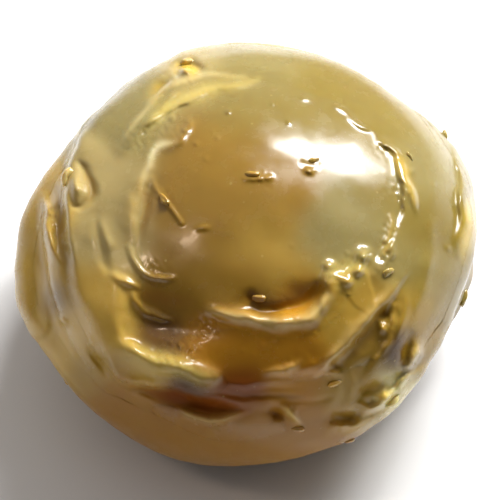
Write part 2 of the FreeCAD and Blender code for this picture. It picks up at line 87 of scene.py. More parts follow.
# ---------- laps ----------
# name: (roundness power of the section, melting into what lies on its left and on its right,
#        looking along it, mm; stations)
# stations: longitude from +x and latitude (degrees), half width, half thickness, lift off the
# cup, extra lift at the left edge (mm)
LAPS = {
    "belly_roll": (2.2, 1.4, 2.4, """
-178 -14 4.5 1.8 0 0, -163 -12 5.5 2 0 0, -135.4 -14.4 6 2.1 -0.1 0, -117.7 -17.9 6.2 2.1 -0.2 0,
-100.8 -17.6 6.2 2 -0.5 0, -85.4 -11.4 6 1.9 -0.5 0, -70.4 -7.7 5.6 1.8 -0.6 0,
-55.3 -3.4 4.8 1.6 -0.7 0, -38 -3 4 1.4 -0.7 0"""),
    "back_roll": (2.2, 1.8, 1.8, """
-45 -12 4 1.5 -0.5 0, -22 -12 5.5 1.9 -0.3 0, 0 -11 6.3 2.2 0 0, 30 -9 6.8 2.4 0 0,
60 -8 7 2.4 0 0, 90 -8 7 2.4 0 0, 120 -9 7 2.4 0 0, 150 -10 6.5 2.2 0 0, 172 -12 5 1.9 0 0,
188 -13 4 1.6 -0.3 0"""),
    "back_sheet": (2.4, 1.6, 1.6, """
12 14 4 1.3 0 0, 35 20 6 1.6 0.2 0.2, 62 18 6.5 1.6 0.3 0.2, 92 17 6.5 1.6 0.2 -0.2,
122 18 6 1.5 0.2 -0.3, 148 20 4.8 1.3 0.1 -0.2"""),
    "top_sheet": (2.6, 2.2, 2.4, """
153.6 49.5 3.4 1.2 0.25 0, 142.6 53.1 4.1 1.3 0.3 0.05, 127.7 55.6 4.6 1.4 0.35 0.05,
108.5 58 5.4 1.4 0.3 0.15, 84.9 57.8 5.6 1.4 0.2 0.25, 64.6 55.2 4.4 1.2 0.15 0.15"""),
    "top_right_sheet": (2.4, 2.2, 1.8, """
79.9 65.5 3 1 0.4 0.2, 60.9 60.8 4.6 1.3 0.4 0.3, 44.9 54 5.2 1.4 0.4 0.3,
30.5 48.5 4.8 1.4 0.4 0.2, 17.2 44.6 3.4 1.2 0.3 0"""),
    "left_flap": (2.4, 0.9, 0.6, """
151.4 34.2 1.6 0.9 0 0, 168.6 28.8 2.6 1.4 0.3 0, 179.9 18.8 3.2 1.6 0.3 0,
-171.9 3.9 3.6 1.6 0.3 0, -160.8 -3.1 3.2 1.5 0.36 0, -152.5 -8 2 1.1 0.24 0"""),
    "left_inner_ribbon": (2.4, 1.2, 1.2, """
179.6 35.9 0.9 0.7 0.3 0, -166.1 31 1.4 0.9 0.6 0, -153.2 25.8 1.8 1 0.6 0,
-141.2 18.8 1.8 1 0.5 0, -132 13.8 1.3 0.8 0.3 0"""),
    "right_flap": (2.4, 0.8, 1.6, """
40 24 1.8 1 0 0, 30 27.8 2.6 1.3 2.23 0, 19.6 22 3 1.5 1.17 0, 7.5 14.2 2.8 1.5 0.31 0,
-11.8 17.5 2.5 1.4 0.3 0, -25.8 14.1 1.8 1.1 0.1 0, -35 10.6 1.1 0.8 -0.2 0"""),
    "right_shoulder": (2.6, 1.8, 2.4, """
37.4 47.1 3 1.1 0 0.1, 23.1 43.3 4 1.3 0.1 0.3, 3.1 41.3 4.8 1.4 0.1 0.4,
-16.3 39.6 5.2 1.4 0.1 0.4, -32.1 34 4.8 1.4 0.1 0.3, -44.2 27.2 3.6 1.3 0.2 0.1,
-54.8 19.2 2.6 1.1 0.2 0, -63.6 7.8 1.6 0.8 0.1 0"""),
    "rim_roll": (2.4, 0.8, 0.9, """
-29.9 8.7 1.3 0.9 0.2 0, -41.2 6.8 1.9 1.1 0.4 0, -49.2 0.2 2.1 1.2 0.6 0,
-57.7 -6.4 2.1 1.2 0.6 0, -67.5 -9.9 1.8 1.1 0.5 0, -77.8 -12.2 1.1 0.8 0.3 0"""),
    "crevice_lap": (2.4, 0.6, 1.0, """
-110.4 6.1 1 0.7 0.3 0, -101.1 5.1 1.6 0.9 0.5 0.1, -92.8 6.3 1.6 0.9 0.5 0.1,
-83.3 9.3 1 0.7 0.3 0"""),
    "under_lip": (2.4, 1.4, 1.4, """
-126.3 10.5 1.5 0.8 0.2 0, -118.2 13.2 1.9 1 0.3 0, -108.9 15.7 2 1.1 0.4 0,
-98.9 16.6 2.2 1.2 0.4 0, -88 15.9 2.6 1.3 0.3 0, -77 15.6 2.8 1.2 0.2 0, -66.6 16 2.2 1 0.1 0"""),
    "swirl_band": (2.4, 1.0, 1.0, """
-37.4 28.1 1.3 0.9 0.9 0, -47.9 22.1 1.7 1 1 0, -55.9 13.9 1.7 1 0.9 0, -62.5 6.1 1.1 0.8 0.7 0"""),
    "lower_band": (2.6, 1.2, 1.4, """
-38.8 40.4 2 1 0.9 0.2, -51.6 38.2 3.2 1.2 0.8 0.3, -65.1 34.5 3.6 1.3 0.7 0.3,
-79.1 31.8 3.4 1.3 0.6 0.1, -91.8 31.2 2.8 1.2 0.5 -0.1, -102.7 32 1.8 1 0.4 0"""),
    "left_shell": (2.6, 2.6, 1.2, """
134.7 60.1 2.8 0.9 0.5 -0.1, 162.5 57.1 3.9 1.1 0.6 -0.4, -173.7 51.6 4.6 1.2 0.6 -0.7,
-155.4 45.9 4.7 1.2 0.6 -0.7, -141.1 38.1 4.2 1.2 0.6 -0.5, -130.7 29.3 3.2 1.2 0.8 0,
-121 22.4 2.5 1.1 1 0.4, -109.7 23 1.8 0.9 1.2 0.4, -99.4 22.2 1 0.7 1.1 0.2"""),
    "crest_ribbon": (2.4, 0.8, 1.0, """
-176.7 59 0.8 0.6 1 0, 169.2 60.3 1 0.7 1.2 0, 153.5 61.5 1.2 0.8 1.3 0, 137 63.2 1.3 0.8 1.3 0,
120.1 66.6 1.2 0.8 1.2 0, 96.9 69.6 1 0.7 1.1 0, 67.7 71 0.7 0.6 0.9 0"""),
    "right_collar": (2.4, 1.0, 1.4, """
27.4 62.9 0.7 0.5 0.9 0, 14.2 58.9 1 0.7 1.1 0, 2.8 54.3 1.1 0.8 1.2 0, -7.3 50.3 1.2 0.8 1.2 0,
-20 47.6 1.2 0.8 1.3 0, -32.2 45.1 1.2 0.8 1.4 0, -41.9 43.3 1.3 0.9 1.5 0,
-51.8 43.7 1.2 0.8 1.6 0, -61.2 45.3 0.9 0.7 1.5 0"""),
    "lower_swirl": (2.4, 0.8, 1.0, """
-104.6 40.7 0.7 0.5 1.3 0, -94.7 39.5 1 0.7 1.5 0, -85.8 38.2 1.1 0.8 1.6 0,
-75.8 38.4 1.1 0.8 1.7 0, -68.9 40.6 0.9 0.7 1.7 0, -64.1 44.8 0.7 0.6 1.6 0"""),
}
# how far neighbouring laps have melted together, and how far flowed resin is softened (mm)
MELTING = 1.1
FLOWED = 2.6
GAP = 0.03     # between neighbouring pieces inside the lump (mm)
WELD = 0.5     # how far a piece runs on under its neighbour at the surface (mm)

# ---------- view-plane tables: millimetres right and up of the middle of the lump ----------
# flowed smooth: right, up, half width, half height, share
FLOW = [
    (2.5, 8.0, 15.0, 11.5, 0.95), (-9.0, -21.0, 14.0, 6.0, 0.6), (-18.0, 10.0, 6.0, 12.0, 0.4),
    (19.0, 4.0, 5.0, 12.0, 0.5), (3.0, -14.0, 14.0, 5.0, 0.5),
]
# the taut dome
DOME_RIGHT, DOME_UP = 3.0, 7.0
DOME_HALF_WIDTH, DOME_HALF_HEIGHT = 18.0, 15.0
DOME_SHARE = 0.85
DOME_RADIUS = 24.5
# how far the outline swells: angle from the right, anticlockwise (degrees), swelling (mm)
RIM_TRIM = [
    (0, -1.1), (15, -0.3), (48, -0.6), (78, 0.4), (108, 0.7), (144, -0.8), (192, 0.1),
    (213, -0.7), (258, 0.1), (300, -0.9), (318, -3.0), (336, -2.6), (350, -1.4),
]
RIM_STEPS = 60
# ridges and grooves, stations: right, up, height or depth, half width
RIDGES = read_strokes("""
-22.14 5.8 0.1 0.43, -21.93 3.76 0.55 0.54, -21.5 1.07 0.55 0.54, -20.75 -1.29 0.1 0.43;
-20.75 -6.99 0 0.32, -20.21 -7.52 0.3 0.32, -19.46 -8.38 0 0.32;
-14.83 -2.69 0.1 0.32, -13.76 -3.12 0.5 0.43, -12.15 -3.98 0.1 0.32;
-13.22 0.32 0.1 0.27, -12.36 -1.29 0.3 0.28, -11.29 -2.36 0.35 0.28, -9.68 -2.9 0.35 0.28,
 -7.96 -3.01 0.1 0.27;
-12.79 -4.51 0.1 0.32, -12.47 -5.7 0.35 0.32, -11.29 -6.67 0.3 0.43, -9.68 -7.31 0.3 0.43,
 -8.38 -7.63 0.1 0.32;
-10.54 9.35 0.1 0.65, -12.25 6.45 0.35 0.75, -13.01 3.76 0.35 0.75, -12.69 0.86 0.1 0.65;
-9.89 6.24 0.1 0.43, -10.96 3.76 0.22 0.54, -11.5 0.86 0.05 0.54;
-15.7 3.01 0.05 0.54, -15.37 1.29 0.22 0.54, -15.16 -0.21 0.05 0.54;
-14.19 -10.32 0.2 0.97, -12.04 -11.5 0.6 1.07, -9.89 -12.25 0.7 1.07, -7.31 -12.9 0.75 1.02,
 -4.95 -13.54 0.65 0.97, -3.76 -14.08 0.3 0.75;
-7.74 -16.98 0.1 0.32, -6.67 -17.74 0.5 0.38, -4.84 -18.27 0.6 0.43, -3.01 -18.17 0.55 0.41,
 -1.29 -17.63 0.35 0.34, 0 -17.31 0.1 0.32;
-10.54 7.74 0.05 0.24, -9.68 5.91 0.28 0.24, -8.81 4.73 0.28 0.26, -7.52 3.01 0.2 0.26;
-0.43 7.31 0.15 0.28, 0.86 7.63 0.3 0.3, 2.15 7.85 0.35 0.32;
-5.91 2.36 0.05 0.27, -5.05 2.47 0.18 0.27, -4.3 2.36 0.05 0.27;
5.38 16.55 0.1 0.26, 5.91 16.45 0.3 0.28, 6.56 16.12 0.1 0.26;
8.6 15.91 0.02 0.26, 9.68 15.37 0.22 0.28, 10.75 14.62 0.24 0.28, 11.72 13.87 0.02 0.26;
10.11 14.51 0.02 0.28, 11.18 13.87 0.26 0.32, 12.25 13.12 0.3 0.32, 13.12 12.79 0.02 0.28;
13.97 11.82 0.05 0.28, 14.83 11.18 0.4 0.32, 15.7 10.43 0.3 0.32, 16.12 9.89 0.05 0.26;
15.37 10.54 0.1 0.38, 16.34 8.81 0.35 0.43, 16.98 7.09 0.4 0.43, 17.52 5.59 0.35 0.43,
 18.06 3.87 0.05 0.32;
15.7 9.35 0.1 0.27, 16.12 7.96 0.3 0.27, 16.66 7.31 0.1 0.27;
16.88 7.31 0.1 0.27, 16.55 6.02 0.35 0.28, 16.34 4.95 0.3 0.28, 16.55 4.08 0.05 0.27;
14.83 3.76 0.1 0.28, 15.16 2.58 0.3 0.3, 14.73 0.97 0.3 0.3;
15.48 0.75 0.25 0.3, 14.51 -0.32 0.45 0.32, 13.76 -1.72 0.1 0.32;
15.48 0.43 0.2 0.26, 15.37 -0.43 0.3 0.26, 14.51 -1.4 0.1 0.26;
-4.84 -6.45 0.1 0.65, -2.69 -6.88 0.5 0.7, 0 -7.42 0.75 0.75, 2.69 -7.85 0.85 0.81,
 5.05 -7.63 0.85 0.81, 6.99 -6.67 0.85 0.81, 8.28 -5.27 0.7 0.75, 8.71 -3.76 0.4 0.65;
1.29 -13.22 0.1 0.34, 2.9 -12.9 0.35 0.39, 4.3 -12.58 0.4 0.41, 5.38 -12.15 0.1 0.34;
5.38 -13.12 0.05 0.54, 6.67 -12.47 0.2 0.54, 7.74 -11.82 0.05 0.54;
15.27 -4.08 0.1 0.54, 13.54 -6.34 0.3 0.59, 11.5 -8.6 0.35 0.59, 9.35 -11.18 0.3 0.59,
 7.74 -12.69 0.05 0.54;
8.06 -13.33 0.1 0.28, 8.81 -13.22 0.35 0.3, 9.57 -13.22 0.1 0.28;
15.48 -5.91 0.2 0.43, 15.37 -7.74 0.4 0.47, 14.83 -9.89 0.4 0.45, 13.97 -11.61 0.35 0.43,
 12.69 -13.97 0.2 0.43;
17.41 -3.23 0.05 0.54, 16.55 -6.99 0.2 0.59, 15.05 -10.21 0.22 0.54, 13.12 -13.54 0.1 0.48;
19.57 2.69 0.05 0.65, 19.13 -2.15 0.18 0.65, 18.06 -6.45 0.18 0.65, 16.55 -9.46 0.05 0.54;
10.75 -12.69 0.05 0.54, 11.07 -14.83 0.22 0.54, 10.32 -17.2 0.05 0.54;
9.24 -13.12 0.05 0.54, 9.46 -15.27 0.18 0.65, 8.17 -17.41 0.05 0.54;
18.38 -9.89 0.2 0.48, 17.74 -11.07 0.75 0.56, 17.09 -12.47 0.35 0.48;
11.61 -16.55 0.2 0.32, 12.69 -16.98 0.45 0.34, 13.97 -16.45 0.5 0.34, 15.27 -15.16 0.45 0.34,
 16.55 -13.97 0.4 0.34, 17.52 -13.01 0.1 0.32;
13.65 -15.7 0.3 0.48, 14.3 -15.48 0.65 0.54, 14.83 -15.05 0.2 0.43;
3.55 -16.98 0.3 0.38, 4.3 -17.52 0.65 0.43, 5.27 -18.6 0.2 0.38;
22.47 9.68 0.1 0.65, 23 6.45 0.5 0.7, 23.33 3.76 0.5 0.7, 23.11 0.54 0.1 0.65;
8.71 -19.24 0.2 0.43, 9.46 -19.13 0.5 0.43, 10.21 -18.92 0.2 0.43;
8.6 -19.89 0.05 0.54, 11.61 -18.27 0.35 0.65, 14.19 -16.55 0.4 0.65, 16.12 -15.05 0.2 0.54;
-7.74 19.46 0.1 0.32, -7.09 19.57 0.4 0.32, -6.45 19.35 0.1 0.32;
-9.68 15.16 0.05 0.21, -8.81 16.23 0.22 0.24, -7.63 16.98 0.05 0.21;
-11.82 13.22 0.05 0.24, -10.75 14.08 0.3 0.26, -9.89 14.62 0.05 0.24;
0 19.03 0 0.54, 2.69 19.13 0.12 0.54, 5.38 18.81 0 0.54;
-9.03 10.75 0.1 0.54, -7.74 11.72 0.3 0.43, -6.45 13.33 0.25 0.43, -6.88 13.97 0 0.32;
-2.04 -14.51 0.1 0.54, 1.29 -14.3 0.2 0.54, 4.51 -13.97 0.05 0.54;
-23.65 1.07 0.05 0.86, -24.29 -2.69 0.3 1.07, -24.08 -5.91 0.35 1.07, -23.22 -8.38 0.2 0.86
""")
GROOVES = read_strokes("""
-18.38 9.57 0.1 0.38, -17.52 8.71 0.4 0.39, -16.98 7.31 0.5 0.41, -17.2 5.8 0.45 0.39,
 -18.06 4.62 0.3 0.37, -18.92 4.73 0.1 0.32;
-19.13 8.81 0.05 0.32, -19.35 7.52 0.2 0.32, -19.35 5.91 0.25 0.32, -18.92 4.73 0.1 0.32;
-20.64 6.45 0.05 0.43, -20.53 3.76 0.15 0.48, -20.43 1.07 0.15 0.48, -19.78 -1.94 0.1 0.54,
 -18.92 -5.38 0.05 0.65;
-9.46 7.74 0.05 0.65, -11.07 5.38 0.3 0.75, -11.61 2.69 0.3 0.75, -11.82 0.21 0.05 0.75;
-16.45 3.76 0.05 0.54, -16.23 0.54 0.2 0.54, -15.48 -1.61 0.2 0.54, -14.62 -2.79 0.05 0.43;
-12.47 -14.94 0.15 0.54, -10.75 -15.27 0.35 0.75, -8.6 -15.91 0.5 0.97, -5.91 -16.66 0.6 1.07,
 -3.01 -17.2 0.5 0.97, -0.75 -17.41 0.25 0.75, 1.29 -17.2 0.05 0.54;
-0.65 -4.95 0.1 0.43, 0.32 -5.16 0.55 0.59, 1.29 -5.38 0.15 0.43;
-1.94 -5.38 0 0.65, 1.29 -6.24 0.5 0.75, 4.3 -6.34 0.75 0.75, 6.24 -5.59 0.75 0.75,
 7.31 -4.08 0.5 0.75;
13.54 -7.31 0.15 0.65, 14.4 -6.99 0.5 0.65, 15.05 -6.67 0.15 0.54;
8.6 -12.47 0.15 0.43, 9.14 -12.47 0.4 0.48, 9.68 -12.25 0.15 0.43;
17.31 -9.24 0.15 0.48, 16.66 -10.75 0.42 0.54, 16.12 -12.25 0.15 0.48;
11.39 -15.8 0.15 0.54, 12.47 -15.16 0.5 0.65, 13.97 -14.4 0.3 0.54, 15.48 -13.54 0.1 0.43;
9.24 -17.95 0.15 0.43, 10.32 -17.84 0.4 0.54, 11.39 -17.63 0.15 0.43;
1.72 -17.41 0.2 0.54, 2.69 -17.63 0.65 0.7, 3.65 -18.17 0.2 0.54;
-5.38 -15.48 0.05 0.32, -1.5 -15.8 0.22 0.32, 1.29 -15.7 0.25 0.32, 5.38 -15.8 0.05 0.32;
-8.38 18.7 0.1 0.54, -7.31 19.78 0.5 0.54, -5.8 19.57 0.5 0.54, -5.16 18.81 0.1 0.43;
-10.32 16.34 0.1 0.65, -9.68 17.41 0.4 0.65, -8.81 18.27 0.2 0.54;
-17.41 -9.89 0.05 0.43, -16.77 -11.39 0.35 0.48, -15.8 -13.01 0.3 0.48, -15.27 -13.76 0.05 0.43;
5.8 9.46 0.05 0.32, 6.45 9.14 0.15 0.38, 7.09 9.03 0.05 0.32;
10.11 -10.96 0.2 0.97, 12.04 -9.46 0.5 1.18, 13.33 -8.17 0.4 0.97;
-2.04 -15.27 0.05 0.43, 1.29 -14.94 0.15 0.43, 5.38 -14.62 0.05 0.43;
3.23 -16.12 0.05 0.32, 6.45 -16.34 0.15 0.32, 9.14 -15.7 0.05 0.32
""")
# free edges, head: right and up of a point on the high side, length of the ramp down behind the
# edge, depth of the foot as a share of the height, width of the foot
# stations: right, up, height, half width of the edge
STEPS = read_headed("""
-15.05 6.45 2.79 0.3 0.75:
 -16.34 15.7 0.1 0.21, -17.84 13.44 0.5 0.17, -18.81 11.29 0.9 0.16, -19.57 8.81 1.1 0.16,
 -19.89 6.45 1.2 0.16, -19.89 3.76 1.1 0.16, -19.57 1.29 1 0.18, -19.24 -0.86 0.6 0.21,
 -18.81 -3.23 0.4 0.32, -18.06 -5.91 0.3 0.43, -16.98 -8.6 0.1 0.43;
-23.65 -4.84 1.5 0.1 0.54:
 -23 1.5 0.1 0.32, -22.36 -2.15 0.3 0.3, -21.82 -5.38 0.35 0.28, -21.61 -7.52 0.4 0.26,
 -22.25 -9.03 0.45 0.24, -23.65 -9.78 0.35 0.24;
-10.75 -10.75 2.15 0.2 0.65:
 -17.84 -6.24 0.1 0.43, -16.77 -8.6 0.3 0.32, -15.91 -10.54 0.5 0.26, -15.16 -12.25 0.75 0.21,
 -14.08 -13.87 0.95 0.19, -12.47 -14.62 1.1 0.19, -10.75 -14.73 0.9 0.19;
-6.45 -14.19 1.72 0.05 0.86:
 -12.25 -14.62 0.25 0.21, -10.54 -14.62 0.6 0.21, -8.81 -15.16 0.8 0.21, -6.24 -15.8 0.9 0.21,
 -3.65 -16.23 0.8 0.21, -0.86 -16.88 0.3 0.26;
-6.99 -12.47 1.29 0.2 0.54:
 -10.75 -13.12 0.1 0.19, -8.38 -13.44 0.45 0.19, -5.8 -13.97 0.55 0.19, -3.87 -14.51 0.4 0.19,
 -3.23 -13.76 0.3 0.21;
-7.52 17.41 1.72 0.1 0.65:
 -13.12 10.75 0.2 0.27, -11.82 12.47 0.45 0.24, -9.89 14.19 0.65 0.24, -7.74 15.16 0.75 0.24,
 -5.38 16.23 0.65 0.24, -3.23 17.2 0.45 0.26, -0.54 17.74 0.25 0.3, 1.94 18.06 0.05 0.32;
-6.99 16.98 1.29 0.1 0.54:
 -13.97 11.18 0.15 0.27, -12.79 13.22 0.4 0.24, -10.96 15.48 0.45 0.24, -9.35 17.31 0.5 0.21,
 -7.52 18.38 0.5 0.21, -5.16 18.81 0.4 0.24, -1.94 18.7 0.2 0.32;
-12.9 9.14 2.36 0.15 1.29:
 -6.88 13.12 0.2 0.65, -8.6 11.29 0.75 0.75, -10.43 9.03 0.85 0.86, -11.93 6.67 0.6 0.86,
 -12.79 4.08 0.15 0.86;
19.35 10.75 2.58 0.2 0.65:
 10.21 14.83 0.02 0.43, 11.61 13.97 0.06 0.43, 12.9 12.9 0.14 0.43, 14.62 11.29 0.3 0.39,
 15.91 9.14 0.45 0.32, 16.34 6.99 0.5 0.3, 16.45 5.05 0.6 0.28, 15.8 2.79 0.55 0.28,
 15.27 0.86 0.55 0.28, 14.51 -0.97 0.6 0.28, 13.33 -2.15 0.3 0.32;
10.96 -4.84 2.15 0.2 0.75:
 7.63 -5.91 0.3 0.27, 7.63 -4.3 0.7 0.24, 8.06 -2.69 0.85 0.24, 9.46 -2.47 0.85 0.26,
 10.75 -2.15 0.9 0.26, 11.5 -1.07 0.9 0.26, 12.47 -0.32 0.75 0.28, 13.97 -1.29 0.3 0.32;
10.21 -6.99 2.36 0.25 0.97:
 16.34 -3.44 0.3 0.21, 14.62 -5.91 0.9 0.17, 13.01 -7.63 1.2 0.16, 10.86 -10.11 1.3 0.16,
 9.03 -11.93 1.2 0.16, 7.74 -13.01 0.5 0.19;
23.86 5.38 1.5 0.15 0.54:
 21.5 12.9 0.1 0.27, 22.25 9.14 0.45 0.21, 22.47 5.91 0.6 0.19, 22.47 3.23 0.5 0.21,
 22.14 0 0.2 0.32;
16.66 -16.66 1.5 0.2 0.54:
 17.84 -13.01 0.4 0.21, 16.23 -14.4 0.7 0.19, 15.48 -16.12 0.6 0.21, 13.54 -17.63 0.7 0.21,
 10.96 -18.6 0.6 0.21, 9.03 -18.7 0.3 0.26;
17.2 -8.6 1.94 0.2 0.65:
 15.7 -5.38 0.2 0.26, 16.02 -7.52 0.5 0.21, 15.27 -10.21 0.55 0.21, 13.97 -12.47 0.5 0.21,
 12.25 -15.05 0.3 0.26;
-16.66 -6.45 2.36 0.15 1.29:
 -14.62 -1.29 0.1 0.54, -13.97 -4.3 0.6 0.54, -13.87 -7.31 0.8 0.54, -13.54 -9.46 0.7 0.43,
 -12.47 -10.43 0.5 0.32;
-9.68 -12.47 1.07 0.05 0.54:
 -12.9 -10.11 0.1 0.21, -10.96 -10.86 0.25 0.21, -8.38 -11.61 0.28 0.21, -5.59 -12.15 0.25 0.21,
 -3.65 -13.01 0.1 0.21;
3.23 -10.75 1.5 0.1 0.54:
 -2.36 -14.83 0.1 0.32, 1.29 -13.87 0.35 0.26, 5.16 -13.12 0.4 0.24, 8.06 -13.12 0.3 0.24
""")
# right, up, height, half width, half height on the view plane
BUMPS = read_rows("""
-18.6 6.77 0.65 0.65 1.18, 8.71 -1.94 0.55 0.59 0.59, 12.04 -0.54 0.65 0.75 0.65,
11.61 -2.15 0.5 0.54 0.54, 10.43 -3.44 0.45 0.54 0.54, 6.45 8.71 0.4 0.39 0.32,
-2.15 14.73 0.25 0.24 0.19, 2.58 15.8 0.16 0.17 0.17, 4.19 13.65 0.2 0.19 0.17,
-6.67 19.35 0.35 0.54 0.43, 14.3 -8.38 0.45 0.43 0.43, 17.52 8.38 0.15 0.32 0.32,
-9.68 -7.52 -0.5 3.87 2.58, -4.84 -8.38 -0.4 2.79 1.72, 5.38 -5.16 -0.5 2.58 1.29,
2.15 1.07 -0.25 4.84 2.69, 2.69 -9.46 0.14 0.26 0.24, 1.61 -10.43 0.12 0.26 0.24,
5.05 -9.35 0.1 0.19 0.17, 6.77 -8.81 0.1 0.19 0.17, 5.05 -8.17 0.1 0.17 0.17,
3.44 -7.2 0.12 0.19 0.17, 4.95 -7.2 0.14 0.19 0.17, 0.32 -11.39 0.08 0.17 0.15,
-0.75 -10.75 0.1 0.19 0.17, 12.9 -17.74 -0.1 0.86 0.54, 21.39 0.21 0.1 0.26 0.26,
19.89 6.88 0.06 0.19 0.19, 10.54 -0.21 0.08 0.21 0.21, 4.62 0.65 0.07 0.19 0.19,
-3.23 12.15 0.08 0.21 0.21, -3.98 12.9 0.08 0.17 0.17, -5.8 11.5 0.14 0.26 0.21,
-4.73 9.68 0.08 0.19 0.19, -6.99 12.9 0.16 0.32 0.21, -8.38 14.19 0.16 0.28 0.21
""")
# right, up, reach, height of the roughness
CRUMBLED = read_rows("""
-11.18 12.04 1.4 0.07, -8.38 13.12 1.29 0.06, -4.84 -8.17 1.4 0.1, -6.88 -10.75 1.07 0.1,
-10.75 -2.36 1.07 0.08, 4.3 -17.63 0.97 0.16, -7.2 19.13 1.07 0.1, 16.45 6.45 1.29 0.1,
14.83 2.15 1.07 0.08, 14.62 -0.65 0.97 0.08, 10.21 -2.69 1.72 0.07, 4.3 -12.69 0.97 0.1,
-4.08 -18.17 1.72 0.07, -8.6 -12.04 2.36 0.06, 14.3 -15.59 1.07 0.12, 17.63 -11.39 0.86 0.1,
9.46 -19.03 1.07 0.1, -5.38 17.2 2.15 0.02, 14.51 -8.38 0.75 0.1, 1.29 7.63 0.97 0.08,
6.67 8.81 0.65 0.12, 2.15 -7.31 2.36 0.05, -21.71 2.69 1.5 0.03, -9.68 5.91 1.72 0.05,
14.51 10.96 0.97 0.07
""")
# the colours of the resin; dark and ember also serve as painted shade in the crevice under the lip,
# and brown along the bottom is partly painted shade of the underside
RESIN = {
    "khaki": (130, 110, 42), "haze": (140, 125, 72), "cream": (170, 150, 95),
    "gold": (195, 160, 72), "amber": (140, 105, 22), "honey": (163, 130, 47),
    "brown": (156, 110, 33), "pool": (175, 122, 24), "dark": (85, 55, 12),
    "ember": (125, 64, 10), "pale": (230, 218, 150),
}
# faces turned from the eye: darker low down as painted shade of the underside, lighter high up as
# painted light on the top
BACK_LOW_PAINTED_SHADE = (112, 82, 40)
BACK_HIGH_PAINTED_LIGHT = (190, 172, 118)
# right, up, reach, colour; the dark and ember points in the crevice under the lip are painted
# shade, other dark points darken small hollows, and the brown points along the bottom are the
# resin's brown darkened further as painted shade of the underside
TONE_POINTS = [
    (0.0, 20.6, 3.2, "haze"), (10.2, 18.3, 3.0, "khaki"), (-5.9, 20.2, 2.1, "cream"),
    (-11.8, 15.0, 2.4, "haze"), (15.0, 14.5, 2.4, "khaki"), (19.4, 9.1, 2.4, "haze"),
    (19.9, 2.1, 2.6, "khaki"), (19.4, -4.3, 1.9, "khaki"), (23.4, 1.6, 0.9, "khaki"),
    (-15.0, 7.5, 1.9, "cream"), (-16.1, 1.6, 1.9, "cream"), (-17.7, -5.4, 1.9, "gold"),
    (-15.0, -8.6, 1.5, "gold"), (-22.6, 5.4, 1.5, "gold"), (-23.6, -0.5, 1.5, "gold"),
    (-23.6, -6.5, 1.3, "gold"), (-20.7, -5.4, 0.9, "dark"), (-20.4, 3.2, 0.8, "gold"),
    (-20.4, -10.2, 1.5, "gold"), (-16.7, -12.9, 1.5, "honey"), (-14.0, -16.7, 1.9, "brown"),
    (-9.7, -20.4, 2.1, "brown"), (-1.6, -21.5, 2.8, "brown"), (7.5, -19.9, 2.1, "brown"),
    (-11.3, -13.4, 1.0, "gold"), (-6.5, -15.0, 0.9, "dark"), (-1.1, -15.3, 1.3, "ember"),
    (-0.5, 15.6, 2.6, "khaki"), (5.4, 15.0, 1.9, "khaki"), (-5.4, 10.8, 2.1, "amber"),
    (-1.1, 10.2, 2.4, "amber"), (-7.5, 5.9, 1.5, "amber"), (-2.7, 4.3, 2.1, "amber"),
    (3.2, 5.4, 2.1, "amber"), (10.2, 3.8, 1.9, "haze"), (7.5, 1.1, 1.7, "haze"),
    (1.6, 1.1, 2.1, "honey"), (-5.4, -1.6, 1.9, "amber"), (-1.1, -2.7, 1.7, "amber"),
    (4.8, -1.6, 1.5, "honey"), (5.4, -4.5, 1.0, "pool"), (13.4, 7.0, 1.3, "khaki"),
    (12.9, 1.6, 1.3, "haze"), (16.1, -1.1, 1.7, "haze"), (12.4, -4.8, 1.5, "honey"),
    (17.7, -6.5, 1.7, "honey"), (16.1, -10.2, 0.8, "dark"), (-10.2, -5.7, 1.0, "amber"),
    (-10.2, -8.9, 1.0, "dark"), (-2.1, -9.7, 1.5, "pool"), (3.8, -10.2, 1.7, "pool"),
    (9.7, -7.5, 1.3, "honey"), (11.8, -10.2, 0.9, "honey"), (5.4, -14.5, 1.5, "pool"),
    (9.7, -15.6, 1.3, "honey"), (2.1, -7.5, 0.5, "dark"), (-8.1, -15.9, 0.5, "dark"),
    (-4.8, -17.0, 0.6, "ember"), (-5.4, 17.0, 0.5, "khaki"), (15.6, -16.1, 0.8, "pale"),
    (13.4, -18.5, 0.9, "honey"), (-12.9, 4.8, 0.8, "cream"), (1.1, -5.2, 0.5, "dark"),
]
